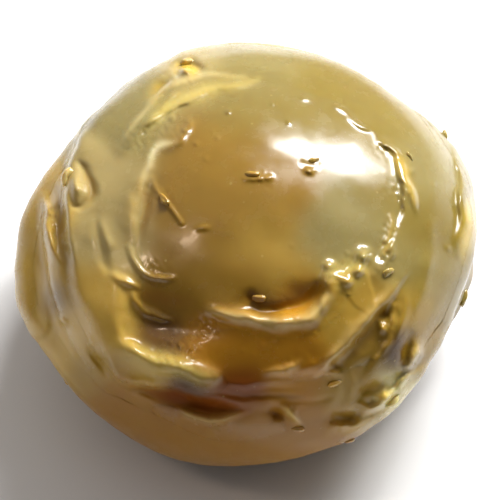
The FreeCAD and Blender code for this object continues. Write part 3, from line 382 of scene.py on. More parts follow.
# veins of other resin, paler ridges, darker grooves and hollows, and strokes of painted light;
# head: red, green, blue, strength; stations: right, up, strength, width
# the near-white 240 228 179 stroke down the dome's left wall is a painted highlight, the 116 56 13
# stroke is painted shade in the crevice under the lip, and the 144 110 55 stroke is painted shadow
# in the recess under a band's lower edge
VEINS_AND_PAINTED_LIGHT = read_headed("""
240 228 179 0.55: -8.17 11.72 0.2 0.27, -9.24 11.39 0.8 0.43, -10.21 10.32 1 0.43,
 -10.96 8.81 0.7 0.38, -11.72 6.88 0.3 0.32;
190 170 90 0.6: 7.74 -2.69 0.4 0.65, 9.46 -2.15 1 0.97, 11.61 -1.29 1 0.97,
 11.39 -3.01 0.8 0.86, 9.68 -4.08 0.5 0.65;
204 182 99 0.7: -11.18 13.12 0.3 0.43, -9.68 14.73 0.9 0.7, -7.74 15.8 1 0.86,
 -5.38 16.77 1 0.86, -2.69 17.63 0.8 0.65, 0.86 18.27 0.4 0.43;
216 195 126 0.5: -13.76 11.61 0.2 0.21, -12.47 13.54 0.8 0.27, -10.75 15.7 0.9 0.32,
 -8.81 17.63 0.9 0.32, -6.88 18.49 0.8 0.32, -4.3 18.92 0.7 0.32, -0.54 18.81 0.4 0.32;
176 143 47 0.6: -10.43 16.12 0.4 0.65, -9.68 17.41 1 0.65, -8.81 18.38 0.4 0.54;
206 170 50 0.7: -7.96 19.35 0.4 0.43, -7.09 19.78 1 0.54, -5.91 19.35 1 0.54;
226 207 144 0.55: -16.34 15.7 0.3 0.21, -17.84 13.44 0.8 0.21, -18.81 11.29 1 0.24,
 -19.67 8.6 1 0.26, -20 5.91 1 0.26, -19.78 3.01 0.8 0.26, -19.35 0 0.3 0.26;
212 180 63 0.7: 23.65 5.91 0.2 0.43, 23.54 3.76 0.9 0.54, 23.33 1.07 1 0.65, 22.9 -1.29 0.3 0.54;
196 162 62 0.7: 15.27 10.54 0.4 0.43, 16.12 9.14 1 0.65, 16.98 7.74 0.9 0.54, 17.63 5.38 0.5 0.43;
188 155 63 0.5: 14.83 3.76 0.3 0.32, 15.16 1.94 0.8 0.43, 14.73 0 0.8 0.54;
166 128 38 0.8: 17.31 -9.46 0.4 0.43, 16.66 -10.75 1 0.54, 16.23 -12.04 0.5 0.43;
206 178 94 0.7: 18.27 -10.11 0.4 0.43, 17.74 -11.18 1 0.48, 17.09 -12.47 0.6 0.43;
164 126 36 0.8: 11.61 -15.7 0.4 0.43, 12.58 -15.05 1 0.65, 13.97 -14.4 0.8 0.54;
206 172 52 0.8: 13.54 -15.8 0.6 0.43, 14.3 -15.37 1 0.48, 14.94 -14.94 0.5 0.43;
160 122 42 0.7: 9.24 -18.06 0.4 0.43, 10.32 -17.84 1 0.54, 11.39 -17.63 0.5 0.43;
184 155 73 0.5: 8.6 -19.78 0.4 0.65, 11.61 -18.92 1 0.86, 14.51 -16.98 1 0.86,
 16.98 -14.83 0.8 0.75, 18.81 -12.04 0.3 0.54;
196 174 94 0.75: -14.19 -10.43 0.4 0.97, -11.82 -11.5 1 1.18, -9.14 -12.25 1 1.18,
 -6.45 -13.01 1 1.07, -3.87 -13.87 0.6 0.86;
116 56 13 0.85: -12.47 -14.83 0.3 0.43, -10.75 -15.16 0.8 0.65, -8.38 -15.8 1 0.86,
 -5.59 -16.34 1 0.97, -2.69 -16.77 1 0.86, -0.21 -17.2 0.4 0.54;
176 147 87 0.7: -7.52 -17.2 0.3 0.27, -6.45 -17.84 1 0.32, -4.73 -18.27 1 0.37,
 -3.01 -18.17 1 0.34, -1.07 -17.52 0.3 0.27;
190 161 94 0.65: 15.7 -3.44 0.2 0.43, 13.76 -6.02 0.9 0.54, 11.5 -8.6 1 0.59,
 9.35 -11.07 1 0.54, 7.96 -12.58 0.5 0.43;
192 168 105 0.8: -4.51 -6.56 0.4 0.54, -2.36 -6.99 1 0.59, 0 -7.52 1 0.65, 2.69 -7.96 1 0.65,
 5.16 -7.74 1 0.65, 7.09 -6.56 1 0.65, 8.38 -5.05 0.8 0.54;
130 93 33 0.6: -1.07 -5.38 0.2 0.75, 1.29 -5.38 0.8 0.86, 4.3 -5.16 1 0.97, 6.24 -4.08 0.7 0.86;
104 60 20 0.6: -0.11 -5.16 0.6 0.43, 0.43 -5.16 1 0.48, 0.97 -5.16 0.6 0.43;
144 110 55 0.75: 13.76 -7.31 0.4 0.65, 12.47 -8.81 1 0.97, 10.96 -10.75 1 0.97,
 9.89 -12.04 0.5 0.65;
126 85 20 0.7: 13.65 -7.09 0.5 0.43, 14.4 -6.67 1 0.54, 15.16 -6.24 0.4 0.43;
160 129 48 0.6: 15.48 -6.02 0.4 0.43, 15.16 -8.06 1 0.43, 14.62 -10.21 1 0.43,
 13.76 -11.82 0.4 0.43;
118 81 28 0.7: 8.6 -12.36 0.5 0.32, 9.14 -12.47 1 0.43, 9.78 -12.25 0.4 0.32;
112 64 15 0.8: 2.15 -17.52 0.6 0.54, 2.69 -17.74 1 0.7, 3.33 -18.06 0.5 0.54;
196 168 94 0.7: 3.55 -16.98 0.5 0.32, 4.3 -17.63 1 0.38, 5.27 -18.49 0.6 0.32;
186 153 80 0.6: 1.29 -13.22 0.3 0.32, 3.01 -12.9 1 0.37, 4.41 -12.58 1 0.39, 5.48 -12.04 0.3 0.32;
140 95 30 0.6: -12.47 -4.51 0.2 0.54, -10.96 -4.95 0.8 0.86, -8.81 -5.38 0.9 0.86,
 -6.67 -5.59 0.4 0.65;
132 91 25 0.6: -12.47 -7.74 0.2 0.65, -10.75 -8.6 0.8 0.86, -8.38 -9.46 0.9 0.86,
 -5.91 -10.21 0.5 0.75;
140 108 50 0.6: -17.63 9.03 0.4 0.32, -17.09 7.52 1 0.43, -17.31 5.8 0.8 0.38,
 -18.06 4.62 0.3 0.32;
146 108 45 0.6: -11.61 7.31 0.3 0.54, -11.07 5.16 1 0.65, -11.39 2.58 0.8 0.65,
 -11.61 0.43 0.3 0.54;
196 166 94 0.5: -10.54 9.14 0.3 0.54, -12.15 6.45 0.9 0.65, -12.9 3.76 0.9 0.65,
 -12.69 1.07 0.3 0.54;
132 102 55 0.6: -20.75 6.45 0.4 0.43, -20.64 3.76 1 0.65, -20.43 0.54 1 0.75,
 -19.57 -2.69 0.7 0.75, -18.7 -5.91 0.3 0.65;
176 147 94 0.5: -22.57 0.54 0.3 0.32, -22.04 -2.69 1 0.43, -21.5 -5.91 1 0.43,
 -21.07 -8.6 0.4 0.43;
88 54 16 0.4: -1.94 -15.37 0.3 0.32, 0.54 -15.7 1 0.32, 3.76 -15.8 1 0.32, 5.91 -15.91 0.3 0.32
""")

# ---------- the frame and the view ----------
cad_lo, cad_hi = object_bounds()
gather_lo, gather_hi = [np.array(v) * 1000.0 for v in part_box("inner_gather")]
cup_lo, cup_hi = [np.array(v) * 1000.0 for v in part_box("cup_mass")]
SCALE = float(cup_hi[0] - cup_lo[0]) / 46.47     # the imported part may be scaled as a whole
GATHER_CENTRE = (gather_lo + gather_hi) / 2
GATHER_RADII = (gather_hi - gather_lo) / 2
CENTRE = np.array([(cup_lo[0] + cup_hi[0]) / 2, (cup_lo[1] + cup_hi[1]) / 2 - 0.015,
                   cup_lo[2] + 15.0 * SCALE])
RADII = np.array([23.3, 23.3, 18.2]) * SCALE

LOOK_DOWN = math.radians(50.0)
TO_EYE = np.array([0.0, -math.cos(LOOK_DOWN), math.sin(LOOK_DOWN)])
RIGHT = np.array([1.0, 0.0, 0.0])
UP = np.array([0.0, math.sin(LOOK_DOWN), math.cos(LOOK_DOWN)])
EYE_DISTANCE = 149.3
EYE = CENTRE - 0.16 * RIGHT - 0.16 * UP + TO_EYE * EYE_DISTANCE

# ---------- grids ----------
FACTOR = 3                  # fine cells along a coarse one
COARSE = 0.54             # cell edge (mm)
FINE = COARSE / FACTOR
grid_lo = np.array(cad_lo) * 1000 - 2.5
grid_lo[2] = -1.2
grid_hi = np.array(cad_hi) * 1000 + 2.5
coarse_dims = np.ceil((grid_hi - grid_lo) / COARSE).astype(int) + 1
fine_dims = (coarse_dims - 1) * FACTOR + 1


def grid_ticks(dims, cell):
    return [(grid_lo[i] + cell * np.arange(dims[i])).astype(f32) for i in range(3)]


fine_ticks = grid_ticks(fine_dims, FINE)


# ---------- shared maths ----------
def unit(vectors, guard=0.0):
    return vectors / (np.linalg.norm(vectors, axis=1) + guard)[:, None]


def noise(points, seed, wavelength, count=7):
    """Sum of fixed sine waves in space, of about unit variance."""
    draw = np.random.RandomState(seed)
    wave = unit(draw.normal(size=(count, 3)))
    wave *= (2 * math.pi / wavelength) * draw.uniform(0.7, 1.4, size=(count, 1))
    wave = wave.astype(f32)
    phase = draw.uniform(0, 2 * math.pi, count).astype(f32)
    total = np.zeros(len(points), f32)
    for i in range(count):
        total += np.sin(points @ wave[i] + phase[i])
    return total / math.sqrt(count / 2.0)


def ellipsoid(points, centre, radii):
    """Approximate signed distance."""
    q = (points - centre.astype(f32)) / radii.astype(f32)
    k0 = np.sqrt((q * q).sum(1))
    q /= radii.astype(f32)
    k1 = np.sqrt((q * q).sum(1)) + 1e-9
    return k0 * (k0 - 1.0) / k1


def on_cup(points):
    """The points moved along rays from the centre onto the cup's ellipsoid."""
    q = (points - CENTRE.astype(f32)) / RADII.astype(f32)
    k0 = np.sqrt((q * q).sum(1)) + 1e-9
    return q / k0[:, None] * RADII.astype(f32) + CENTRE.astype(f32)


def soft_min(a, b, k):
    h = np.clip(0.5 + 0.5 * (b - a) / k, 0, 1)
    return b * (1 - h) + a * h - k * h * (1 - h)


def smooth_step(x, a, b):
    t = np.clip((x - a) / (b - a), 0, 1)
    return t * t * (3 - 2 * t)


def spline(stations, step_count):
    """Catmull-Rom curve through all stations, with step_count(start, end) steps per span."""
    rows = np.array(stations, float)
    rows = np.vstack([2 * rows[0] - rows[1], rows, 2 * rows[-1] - rows[-2]])
    curve = []
    for a, b, c, d in zip(rows, rows[1:], rows[2:], rows[3:]):
        count = step_count(b, c)
        for k in range(count):
            t = k / count
            curve.append(0.5 * (2 * b + (c - a) * t + (2 * a - 5 * b + 4 * c - d) * t * t
                                + (3 * b - a - 3 * c + d) * t ** 3))
    curve.append(rows[-2])
    return np.array(curve)


def box_blur(grid, r):
    n = 2 * r + 1
    for axis in range(grid.ndim):
        pad = [(r + 1, r) if a == axis else (0, 0) for a in range(grid.ndim)]
        sums = np.cumsum(np.pad(grid, pad, mode="edge"), axis=axis, dtype=np.float64)
        a = [slice(None)] * grid.ndim
        b = [slice(None)] * grid.ndim
        a[axis] = slice(n, None)
        b[axis] = slice(None, -n)
        grid = ((sums[tuple(a)] - sums[tuple(b)]) / n).astype(f32)
    return grid


def upsample(grid):
    """Linear, from coarse to fine cells."""
    for axis in range(3):
        grid = np.moveaxis(grid, axis, 0)
        out = np.empty(((grid.shape[0] - 1) * FACTOR + 1,) + grid.shape[1:], f32)
        out[::FACTOR] = grid
        for j in range(1, FACTOR):
            t = f32(j / FACTOR)
            out[j::FACTOR] = grid[:-1] * (1 - t) + grid[1:] * t
        grid = np.moveaxis(out, 0, axis)
    return grid


def view_plane(points):
    """View-plane position of points: right, up (mm)."""
    v = points - EYE.astype(f32)
    k = f32(EYE_DISTANCE) / -(v @ TO_EYE.astype(f32))
    return (v @ RIGHT.astype(f32)) * k, (v @ UP.astype(f32)) * k


def facing(points):
    """1 where the cup's ellipsoid faces the eye, -1 where it faces away."""
    q = (points - CENTRE.astype(f32)) / (RADII * RADII).astype(f32)
    return unit(q, 1e-9) @ TO_EYE.astype(f32)


# ---------- coarse field: the laps ----------
class Lap:
    """A flat band of resin along a path on the cup's ellipsoid."""

    def __init__(self, power, melt_left, melt_right, text):
        self.power, self.melt_left, self.melt_right = power, melt_left, melt_right
        rows = []
        for longitude, latitude, *section in read_rows(text):
            t, f = math.radians(longitude), math.radians(latitude)
            rows.append([math.cos(f) * math.cos(t), math.cos(f) * math.sin(t), math.sin(f)]
                        + section)
        curve = spline(rows, lambda start, end: 14)
        self.section = curve[:, 3:].astype(f32)
        self.section[:, :2] = np.maximum(self.section[:, :2], np.array([0.15, 0.12], f32))
        q = unit(curve[:, :3])
        place = q * RADII + CENTRE
        ahead = np.gradient(place, axis=0)
        spacing = np.linalg.norm(ahead, axis=1)
        ahead /= spacing[:, None]
        left = unit(np.cross(unit(q / RADII), ahead))
        self.place, self.ahead, self.left, self.spacing = [
            a.astype(f32) for a in (place, ahead, left, spacing)]
        reach = float(self.section[:, 0].max() + 2.2 + self.section[:, 2].max())
        self.lo, self.hi = place.min(0) - reach, place.max(0) + reach

    def measure(self, points, skin, height):
        """Distance, and place across (-1..1 between the edges, + is left), for points at a
        height over their skin points on the cup."""
        dist = np.full(len(points), 5.0, f32)
        across = np.zeros(len(points), f32)
        found = np.nonzero(np.all((points >= self.lo) & (points <= self.hi), axis=1))[0]
        p = self.power
        for start in range(0, len(found), 60000):
            some = found[start:start + 60000]
            here = skin[some]
            d2 = ((here * here).sum(1)[:, None] + (self.place * self.place).sum(1)[None]
                  - 2 * here @ self.place.T)
            j = d2.argmin(1)
            along = ((here - self.place[j]) * self.ahead[j]).sum(1)
            f = np.clip(j + along / self.spacing[j], 0, len(self.place) - 1)
            j = np.minimum(f.astype(int), len(self.place) - 2)
            t = (f - j).astype(f32)[:, None]
            place, left, ahead, section = [
                a[j] * (1 - t) + a[j + 1] * t
                for a in (self.place, self.left, self.ahead, self.section)]
            offset = here - place
            x = (offset * left).sum(1)
            past = (offset * ahead).sum(1)
            width, thick, lift, tilt = section.T
            side = np.sqrt(x * x + past ** 2)
            rise = np.abs(height[some] - (lift + tilt * np.clip(x / width, -1.2, 1.2)))
            u, v = side / width, rise / thick
            k0 = (u ** p + v ** p + 1e-12) ** (1 / p)
            g = k0 ** (1 - p) * np.sqrt((u ** (p - 1) / width) ** 2
                                        + (v ** (p - 1) / thick) ** 2) + 1e-6
            near = np.maximum((k0 - 1) / g, -thick)      # no deeper than the half thickness
            far = np.sqrt(np.maximum(side - width, 0) ** 2 + np.maximum(rise - thick, 0) ** 2)
            dist[some] = np.where(
                k0 > 1.6, np.maximum(np.minimum(near, far + 0.6 * thick), far), near)
            across[some] = x / width
        return dist, across


laps = [Lap(*row) for row in LAPS.values()]


def melted(points):
    """Field of all laps melted together, and the distances to the gather, cup and laps."""
    warp = np.stack([0.16 * noise(points, 11 + i, 12.0) for i in range(3)], -1)
    points = points + warp
    gather = ellipsoid(points, GATHER_CENTRE, GATHER_RADII)
    cup = ellipsoid(points, CENTRE, RADII)
    field = soft_min(cup, gather, 1.2)
    skin = on_cup(points)
    dists = [gather, cup]
    for lap in laps:
        dist, across = lap.measure(points, skin, cup)
        m = dist < 4.0
        k = np.clip(0.5 + 0.5 * across[m], 0, 1)
        k = lap.melt_right + (lap.melt_left - lap.melt_right) * k * k * (3 - 2 * k)
        field[m] = soft_min(field[m], dist[m], k)
        dists.append(dist)
    return field, np.array(dists, f32)


coarse_points = np.stack(
    np.meshgrid(*grid_ticks(coarse_dims, COARSE), indexing="ij"), -1).reshape(-1, 3)
cup_dist = ellipsoid(coarse_points, CENTRE, RADII)
gather_dist = ellipsoid(coarse_points, GATHER_CENTRE, GATHER_RADII)
shell = np.nonzero(((cup_dist > -5.0) & (cup_dist < 5.5)) | (np.abs(gather_dist) < 1.5))[0]
laid = np.where(cup_dist < 0, f32(-5), f32(5)).astype(f32)
laid[shell], part_dists = melted(coarse_points[shell])
laid = laid.reshape(coarse_dims)

# the gather fills the cup's mouth: a cone about the mouth's axis
mouth_axis = np.array([0.20, -0.55, 0.81])
mouth_axis /= np.linalg.norm(mouth_axis)
ray = unit((coarse_points[shell] - CENTRE.astype(f32)) / RADII.astype(f32), 1e-6)
mouth = np.arccos(np.clip(ray @ mouth_axis.astype(f32), -1, 1))
mouth = (mouth - math.radians(58.0)) * 21.0
part_dists[0] = np.minimum(part_dists[0], np.maximum(mouth, part_dists[1]))
part_dists[1] = np.maximum(part_dists[1], -mouth)

# ---------- relief: maps over the view plane ----------
MAP_CELL = 0.07
MAP_X0, MAP_Y0, MAP_X1, MAP_Y1 = -28.0, -27.0, 28.0, 27.0
map_ticks = [np.arange(a, b + MAP_CELL, MAP_CELL).astype(f32)
             for a, b in ((MAP_X0, MAP_X1), (MAP_Y0, MAP_Y1))]
MAP_X, MAP_Y = np.meshgrid(*map_ticks, indexing="ij")


def map_noise(seed, wavelength, count=9):
    draw = np.random.RandomState(seed)
    angle = draw.uniform(0, 2 * math.pi, count)
    k = 2 * math.pi / wavelength * draw.uniform(0.65, 1.5, count)
    phase = draw.uniform(0, 2 * math.pi, count)
    total = np.zeros_like(MAP_X)
    for i in range(count):
        total += np.sin(MAP_X * f32(k[i] * math.cos(angle[i]))
                        + MAP_Y * f32(k[i] * math.sin(angle[i])) + f32(phase[i]))
    return total / math.sqrt(count / 2.0)


# strokes wander a little, as folds in something soft do
WANDER_X = MAP_X + 0.10 * map_noise(1, 5.0) + 0.03 * map_noise(2, 2.0)
WANDER_Y = MAP_Y + 0.10 * map_noise(3, 5.0) + 0.03 * map_noise(4, 2.0)


def path(stations):
    return spline(stations, lambda start, end: max(
        2, int(math.hypot(*(end - start)[:2]) / 0.12))).astype(f32)


def nearest(stations, reach):
    """For the window of the map a stroke reaches: distance, signed distance across (+ is left),
    overshoot past the ends, and the stroke's third and fourth columns."""
    p = path(stations)
    spans = []
    for axis, origin in enumerate((MAP_X0, MAP_Y0)):
        ends = p[:, axis].min() - reach, p[:, axis].max() + reach
        spans.append(slice(*[int(np.clip((v - origin) / MAP_CELL, 0, len(map_ticks[axis])))
                             for v in ends]))
    window = tuple(spans)
    shape = WANDER_X[window].shape
    qx, qy = WANDER_X[window].ravel(), WANDER_Y[window].ravel()
    best = np.full(len(qx), 1e9, f32)
    at = np.zeros(len(qx), int)
    for start in range(0, len(p), 8):
        q = p[start:start + 8]
        d2 = (qx[:, None] - q[None, :, 0]) ** 2 + (qy[:, None] - q[None, :, 1]) ** 2
        j = d2.argmin(1)
        v = d2[np.arange(len(qx)), j]
        m = v < best
        best[m] = v[m]
        at[m] = start + j[m]
    t = unit(np.gradient(p[:, :2], axis=0), 1e-9)
    dx, dy = qx - p[at, 0], qy - p[at, 1]
    along = dx * t[at, 0] + dy * t[at, 1]
    side = t[at, 0] * dy - t[at, 1] * dx
    # straight across inside the stroke, round at its ends
    inner = (at > 0) & (at < len(p) - 1)
    dist = np.where(inner, np.abs(side), np.hypot(dx, dy))
    over = np.where(inner, 0, np.abs(along))
    return (window,) + tuple(
        a.reshape(shape) for a in (dist, side.astype(float), over, p[at, 2], p[at, 3]))


relief = np.zeros_like(MAP_X)
# depth of grooves and of the feet of free edges; the material lays painted shade there
pit_shade_map = np.zeros_like(MAP_X)
vary = 1 + 0.12 * map_noise(5, 3.2)
drift = 1 + 0.06 * map_noise(6, 9.0)
for strokes, gain in ((RIDGES, 0.8), (GROOVES, -0.7)):
    for stations in strokes:
        widest = max(c[3] for c in stations)
        window, dist, _, over, a, w = nearest(stations, 3 * widest + 0.5)
        shape = (np.exp(-(dist / np.maximum(w, 0.12)) ** 2)
                 * np.exp(-(over / (1.2 * widest)) ** 2))
        relief[window] += gain * a * shape * vary[window]
        if gain < 0:
            pit_shade_map[window] += a * shape
for (high_x, high_y, ramp, foot, foot_width), stations in STEPS:
    p = path(stations)
    j = int(((p[:, 0] - high_x) ** 2 + (p[:, 1] - high_y) ** 2).argmin())
    j = min(max(j, 1), len(p) - 2)
    t = p[j + 1, :2] - p[j - 1, :2]
    high_left = t[0] * (high_y - p[j, 1]) - t[1] * (high_x - p[j, 0]) > 0
    window, _, side, over, a, w = nearest(stations, 3.2 * max(ramp, foot_width) + 0.5)
    x = -side if high_left else side              # positive on the low side
    high = 0.5 * (1 - np.tanh(x / np.maximum(1.25 * w, 0.12)))
    a = 0.65 * a
    below = np.exp(-np.maximum(x, 0) / foot_width)
    shape = high * np.exp(-np.maximum(-x, 0) / ramp) - 0.7 * foot * (1 - high) * below
    fade = np.exp(-(over / 1.0) ** 2)
    relief[window] += a * shape * fade * drift[window]
    pit_shade_map[window] += 0.6 * a * foot * (1 - high) * below * fade
for x, y, a, rx, ry in BUMPS:
    relief += a * np.exp(-(((WANDER_X - x) / rx) ** 2 + ((WANDER_Y - y) / ry) ** 2))
grit = map_noise(31, 0.75, 14) * 0.6 + map_noise(32, 0.45, 14) * 0.4
grit = np.sign(grit) * np.abs(grit) ** 1.3
for x, y, r, a in CRUMBLED:
    relief += 0.55 * a * grit * np.exp(-(((WANDER_X - x) / r) ** 2 + ((WANDER_Y - y) / r) ** 2))
relief = box_blur(relief.astype(f32), 2)
relief += 0.016 * map_noise(41, 4.5)


def lookup(values, x, y):
    """Bilinear reading of a map."""
    u = np.clip((x - f32(MAP_X0)) / f32(MAP_CELL), 0, values.shape[0] - 1.001)
    v = np.clip((y - f32(MAP_Y0)) / f32(MAP_CELL), 0, values.shape[1] - 1.001)
    i, j = u.astype(np.int32), v.astype(np.int32)
    u, v = (u - i).astype(f32), (v - j).astype(f32)
    return ((values[i, j] * (1 - u) + values[i + 1, j] * u) * (1 - v)
            + (values[i, j + 1] * (1 - u) + values[i + 1, j + 1] * u) * v)


# ---------- the whole lump ----------
def softened():
    """The laid laps with their edges melted, the flowed resin smooth and the dome taut."""
    r = max(1, int(round(MELTING / COARSE)))
    form = box_blur(box_blur(np.clip(laid, -4, 4), r), r)
    r = int(round(FLOWED / COARSE))
    flowed = box_blur(box_blur(np.clip(laid, -6, 6), r), r)
    vx, vy = view_plane(coarse_points)
    towards = facing(coarse_points)
    keep = np.ones(len(coarse_points), f32)
    for x, y, rx, ry, a in FLOW:
        keep *= 1 - a * np.exp(-(((vx - x) / rx) ** 2 + ((vy - y) / ry) ** 2) ** 2)
    keep = box_blur(np.where(towards > 0.0, keep, 0.55).reshape(coarse_dims), 3)
    form = form * keep + (flowed - 0.2) * (1 - keep)
    # a ball is fitted to the form at the dome, and the form leans towards it
    flat = form.ravel()
    e = ((vx - DOME_RIGHT) / DOME_HALF_WIDTH) ** 2 + ((vy - DOME_UP) / DOME_HALF_HEIGHT) ** 2
    near = (np.abs(flat) < 0.4) & (towards > 0.35) & (e < 1)
    points = coarse_points[near]
    points = points - flat[near, None] * unit(points - GATHER_CENTRE.astype(f32))
    points = points.astype(np.float64)
    centre = GATHER_CENTRE.copy()
    for _ in range(30):
        fitted = (points - DOME_RADIUS * unit(points - centre)).mean(0)
        centre = fitted * 0.5 + centre * 0.5
    ball = np.linalg.norm(coarse_points - centre.astype(f32), axis=1) - f32(DOME_RADIUS)
    lean = np.where(towards > 0.0, DOME_SHARE * np.exp(-e ** 2), 0).astype(f32)
    lean = box_blur(lean.reshape(coarse_dims), 2)
    return form * (1 - lean) + np.clip(ball.reshape(coarse_dims), -4, 4) * lean


def detailed(coarse):
    """The form on the fine grid, with relief, outline trim and flat foot."""
    form = np.ascontiguousarray(box_blur(box_blur(upsample(coarse), FACTOR), FACTOR - 1))
    band = np.nonzero(np.abs(form.ravel()) < 3.0)[0]
    cells = np.unravel_index(band, form.shape)
    points = np.stack([ticks[c] for ticks, c in zip(fine_ticks, cells)], -1)
    del cells
    vx, vy = view_plane(points)
    towards = facing(points)
    push = lookup(relief, vx, vy) * smooth_step(towards, -0.02, 0.22)
    step = 360.0 / RIM_STEPS
    angles, trims = zip(*RIM_TRIM)
    rim = np.interp(step * np.arange(RIM_STEPS + 1), angles, trims, period=360.0).astype(f32)
    pos = np.degrees(np.arctan2(vy, vx)) % 360 / step
    i = pos.astype(int) % RIM_STEPS
    t = (pos - np.floor(pos)).astype(f32)
    t = t * t * (3 - 2 * t)
    push += ((rim[i] * (1 - t) + rim[i + 1] * t)
             * np.exp(-(towards / np.where(towards > 0, 0.38, 0.2)) ** 2))
    # a few soft dents on the side away from the eye
    push += 0.06 * noise(points, 51, 5.0) * smooth_step(-towards, -0.1, 0.3)
    form.reshape(-1)[band] -= push
    return np.maximum(form, -fine_ticks[2][None, None, :])


lump = detailed(softened())


def sample(points):
    """Trilinear reading of the lump."""
    q = (points - grid_lo.astype(f32)) / f32(FINE)
    i = np.clip(np.floor(q).astype(np.int32), 0, (fine_dims - 2).astype(np.int32))
    f = q - i
    n = (i[:, 0].astype(np.int64) * fine_dims[1] + i[:, 1]) * fine_dims[2] + i[:, 2]
    flat = lump.reshape(-1)
    stride_x, stride_y = int(fine_dims[1] * fine_dims[2]), int(fine_dims[2])
    out = np.zeros(len(points), f32)
    for dx in (0, 1):
        wx = f[:, 0] if dx else 1 - f[:, 0]
        for dy in (0, 1):
            wy = wx * (f[:, 1] if dy else 1 - f[:, 1])
            for dz in (0, 1):
                wz = f[:, 2] if dz else 1 - f[:, 2]
                out += wy * wz * flat[n + dx * stride_x + dy * stride_y + dz]
    return out


def slope(points):
    """Outward direction of the lump's surface, and the field, at points."""
    g = np.empty_like(points)
    for axis in range(3):
        e = np.zeros(3, f32)
        e[axis] = 0.6 * FINE
        g[:, axis] = sample(points + e) - sample(points - e)
    return unit(g, 1e-9), sample(points)


# ---------- pieces ----------
def piece_share(i):
    """Coarse field of piece i: its distance, cut where its neighbours hold."""
    own = part_dists[i]
    before = part_dists[:i].min(axis=0, initial=9.0)
    after = part_dists[i + 1:].min(axis=0, initial=9.0)
    share = np.minimum(own, own - after)
    if i == 0:       # the gather is laid first: all of it, and its share of the fillets
        values = np.where(gather_dist < 0, f32(-4), f32(4))
    elif i == 1:
        share = np.maximum(-before, share)
        values = np.where((cup_dist < 0) & (gather_dist > 0), f32(-4), f32(4))
    else:
        share = np.maximum(np.maximum(-before, np.minimum(own, own - before)), share)
        values = np.full(len(coarse_points), 4.0, f32)
    values[shell] = share
    return values.reshape(coarse_dims)


def piece_field(i):
    """Fine field of piece i, and its first fine cell."""
    values = piece_share(i)
    first, last = np.zeros(3, int), coarse_dims
    if i >= 2:
        lap = laps[i - 2]
        first = np.floor((lap.lo - 2.0 - grid_lo) / COARSE).astype(int)
        first = np.clip(first, 0, coarse_dims - 2)
        last = np.ceil((lap.hi + 2.0 - grid_lo) / COARSE).astype(int) + 1
        last = np.clip(last, 2, coarse_dims)
    values = upsample(values[tuple(slice(a, b) for a, b in zip(first, last))])
    first = first * FACTOR
    box = tuple(slice(a, a + n) for a, n in zip(first, values.shape))
    whole = lump[box]
    weld = WELD * np.clip((whole + 1.0) / 0.7, 0, 1)
    values = np.maximum(whole + np.maximum(values, 0), values + GAP - weld)
    return np.maximum(values, -fine_ticks[2][None, None, box[2]]), first


def piece_mesh(name, values, first):
    """Closed quad mesh of values < 0; returns the object and its points (mm)."""
    values = np.clip(values, -3 * FINE, 3 * FINE).astype(f32)
    grid = openvdb.FloatGrid(3 * FINE)
    grid.copyFromArray(np.ascontiguousarray(values))
    grid.transform = openvdb.createLinearTransform(voxelSize=FINE)
    points, quads = grid.convertToQuads(0.0)
    points = points + grid_lo + first * FINE
    me = bpy.data.meshes.new(name)
    me.vertices.add(len(points))
    me.vertices.foreach_set("co", (points / 1000.0).astype(f32).ravel())
    me.loops.add(len(quads) * 4)
    me.loops.foreach_set("vertex_index", quads.astype(np.int32).ravel())
    me.polygons.add(len(quads))
    me.polygons.foreach_set("loop_start", np.arange(0, len(quads) * 4, 4, dtype=np.int32))
    me.polygons.foreach_set("loop_total", np.full(len(quads), 4, np.int32))
    me.update(calc_edges=True)
    me.validate()
    me.polygons.foreach_set("use_smooth", np.ones(len(me.polygons), bool))
    # where a piece shows, its shading follows the whole lump, so welded laps read as one
    normals = np.empty(len(me.vertices) * 3, f32)
    me.vertices.foreach_get("normal", normals)
    outward, depth = slope(points.astype(f32))
    k = smooth_step(depth, -0.45, -0.2)[:, None]
    normals = unit(normals.reshape(-1, 3) * (1 - k) + outward * k, 1e-9)
    me.normals_split_custom_set_from_vertices(normals.tolist())
    return add_object(name, me), points


def add_object(name, data):
    ob = bpy.data.objects.new(name, data)
    bpy.context.scene.collection.objects.link(ob)
    return ob


# ---------- tones ----------
def linear(c):
    c = np.asarray(c, float) / 255.0
    return np.where(c <= 0.04045, c / 12.92, ((c + 0.055) / 1.055) ** 2.4)


tones = np.zeros(MAP_X.shape + (3,), f32)
weights = np.full(MAP_X.shape, 1e-12, f32)
for x, y, r, colour in TONE_POINTS:
    e = ((WANDER_X - x) ** 2 + (WANDER_Y - y) ** 2) / (1.25 * r) ** 2
    w = (np.exp(-e) + 0.02 / (1 + e) ** 2).astype(f32)
    weights += w
    tones += w[..., None] * linear(RESIN[colour]).astype(f32)
tones /= weights[..., None]
tones = np.stack([box_blur(box_blur(tones[..., k], 10), 10) for k in range(3)], -1)
# veins, the painted highlight and the painted shade strokes laid over the tones
for (*colour, strength), stations in VEINS_AND_PAINTED_LIGHT:
    widest = max(c[3] for c in stations)
    window, dist, _, over, a, w = nearest(stations, 3 * widest + 0.3)
    s = (strength * np.clip(a, 0, 1) * np.exp(-(dist / np.maximum(w, 0.1)) ** 2)
         * np.exp(-(over / widest) ** 2)).astype(f32)[..., None]
    tones[window] = tones[window] * (1 - s) + s * linear(colour).astype(f32)
# + on thin free edges, where a painted glow of light goes, - at the foot of folds, where painted
#   shade goes
edge_glow_fold_shade_map = np.clip(relief - box_blur(relief, int(round(0.5 / MAP_CELL))), -1, 1).astype(f32)


def tone_at(vx, vy):
    return np.stack([lookup(tones[..., k], vx, vy) for k in range(3)], -1)


def set_tone(me, colour):
    rgba = np.ones((len(colour), 4), f32)
    rgba[:, :3] = colour
    me.attributes.new("tone", "FLOAT_COLOR", "POINT").data.foreach_set("color", rgba.ravel())


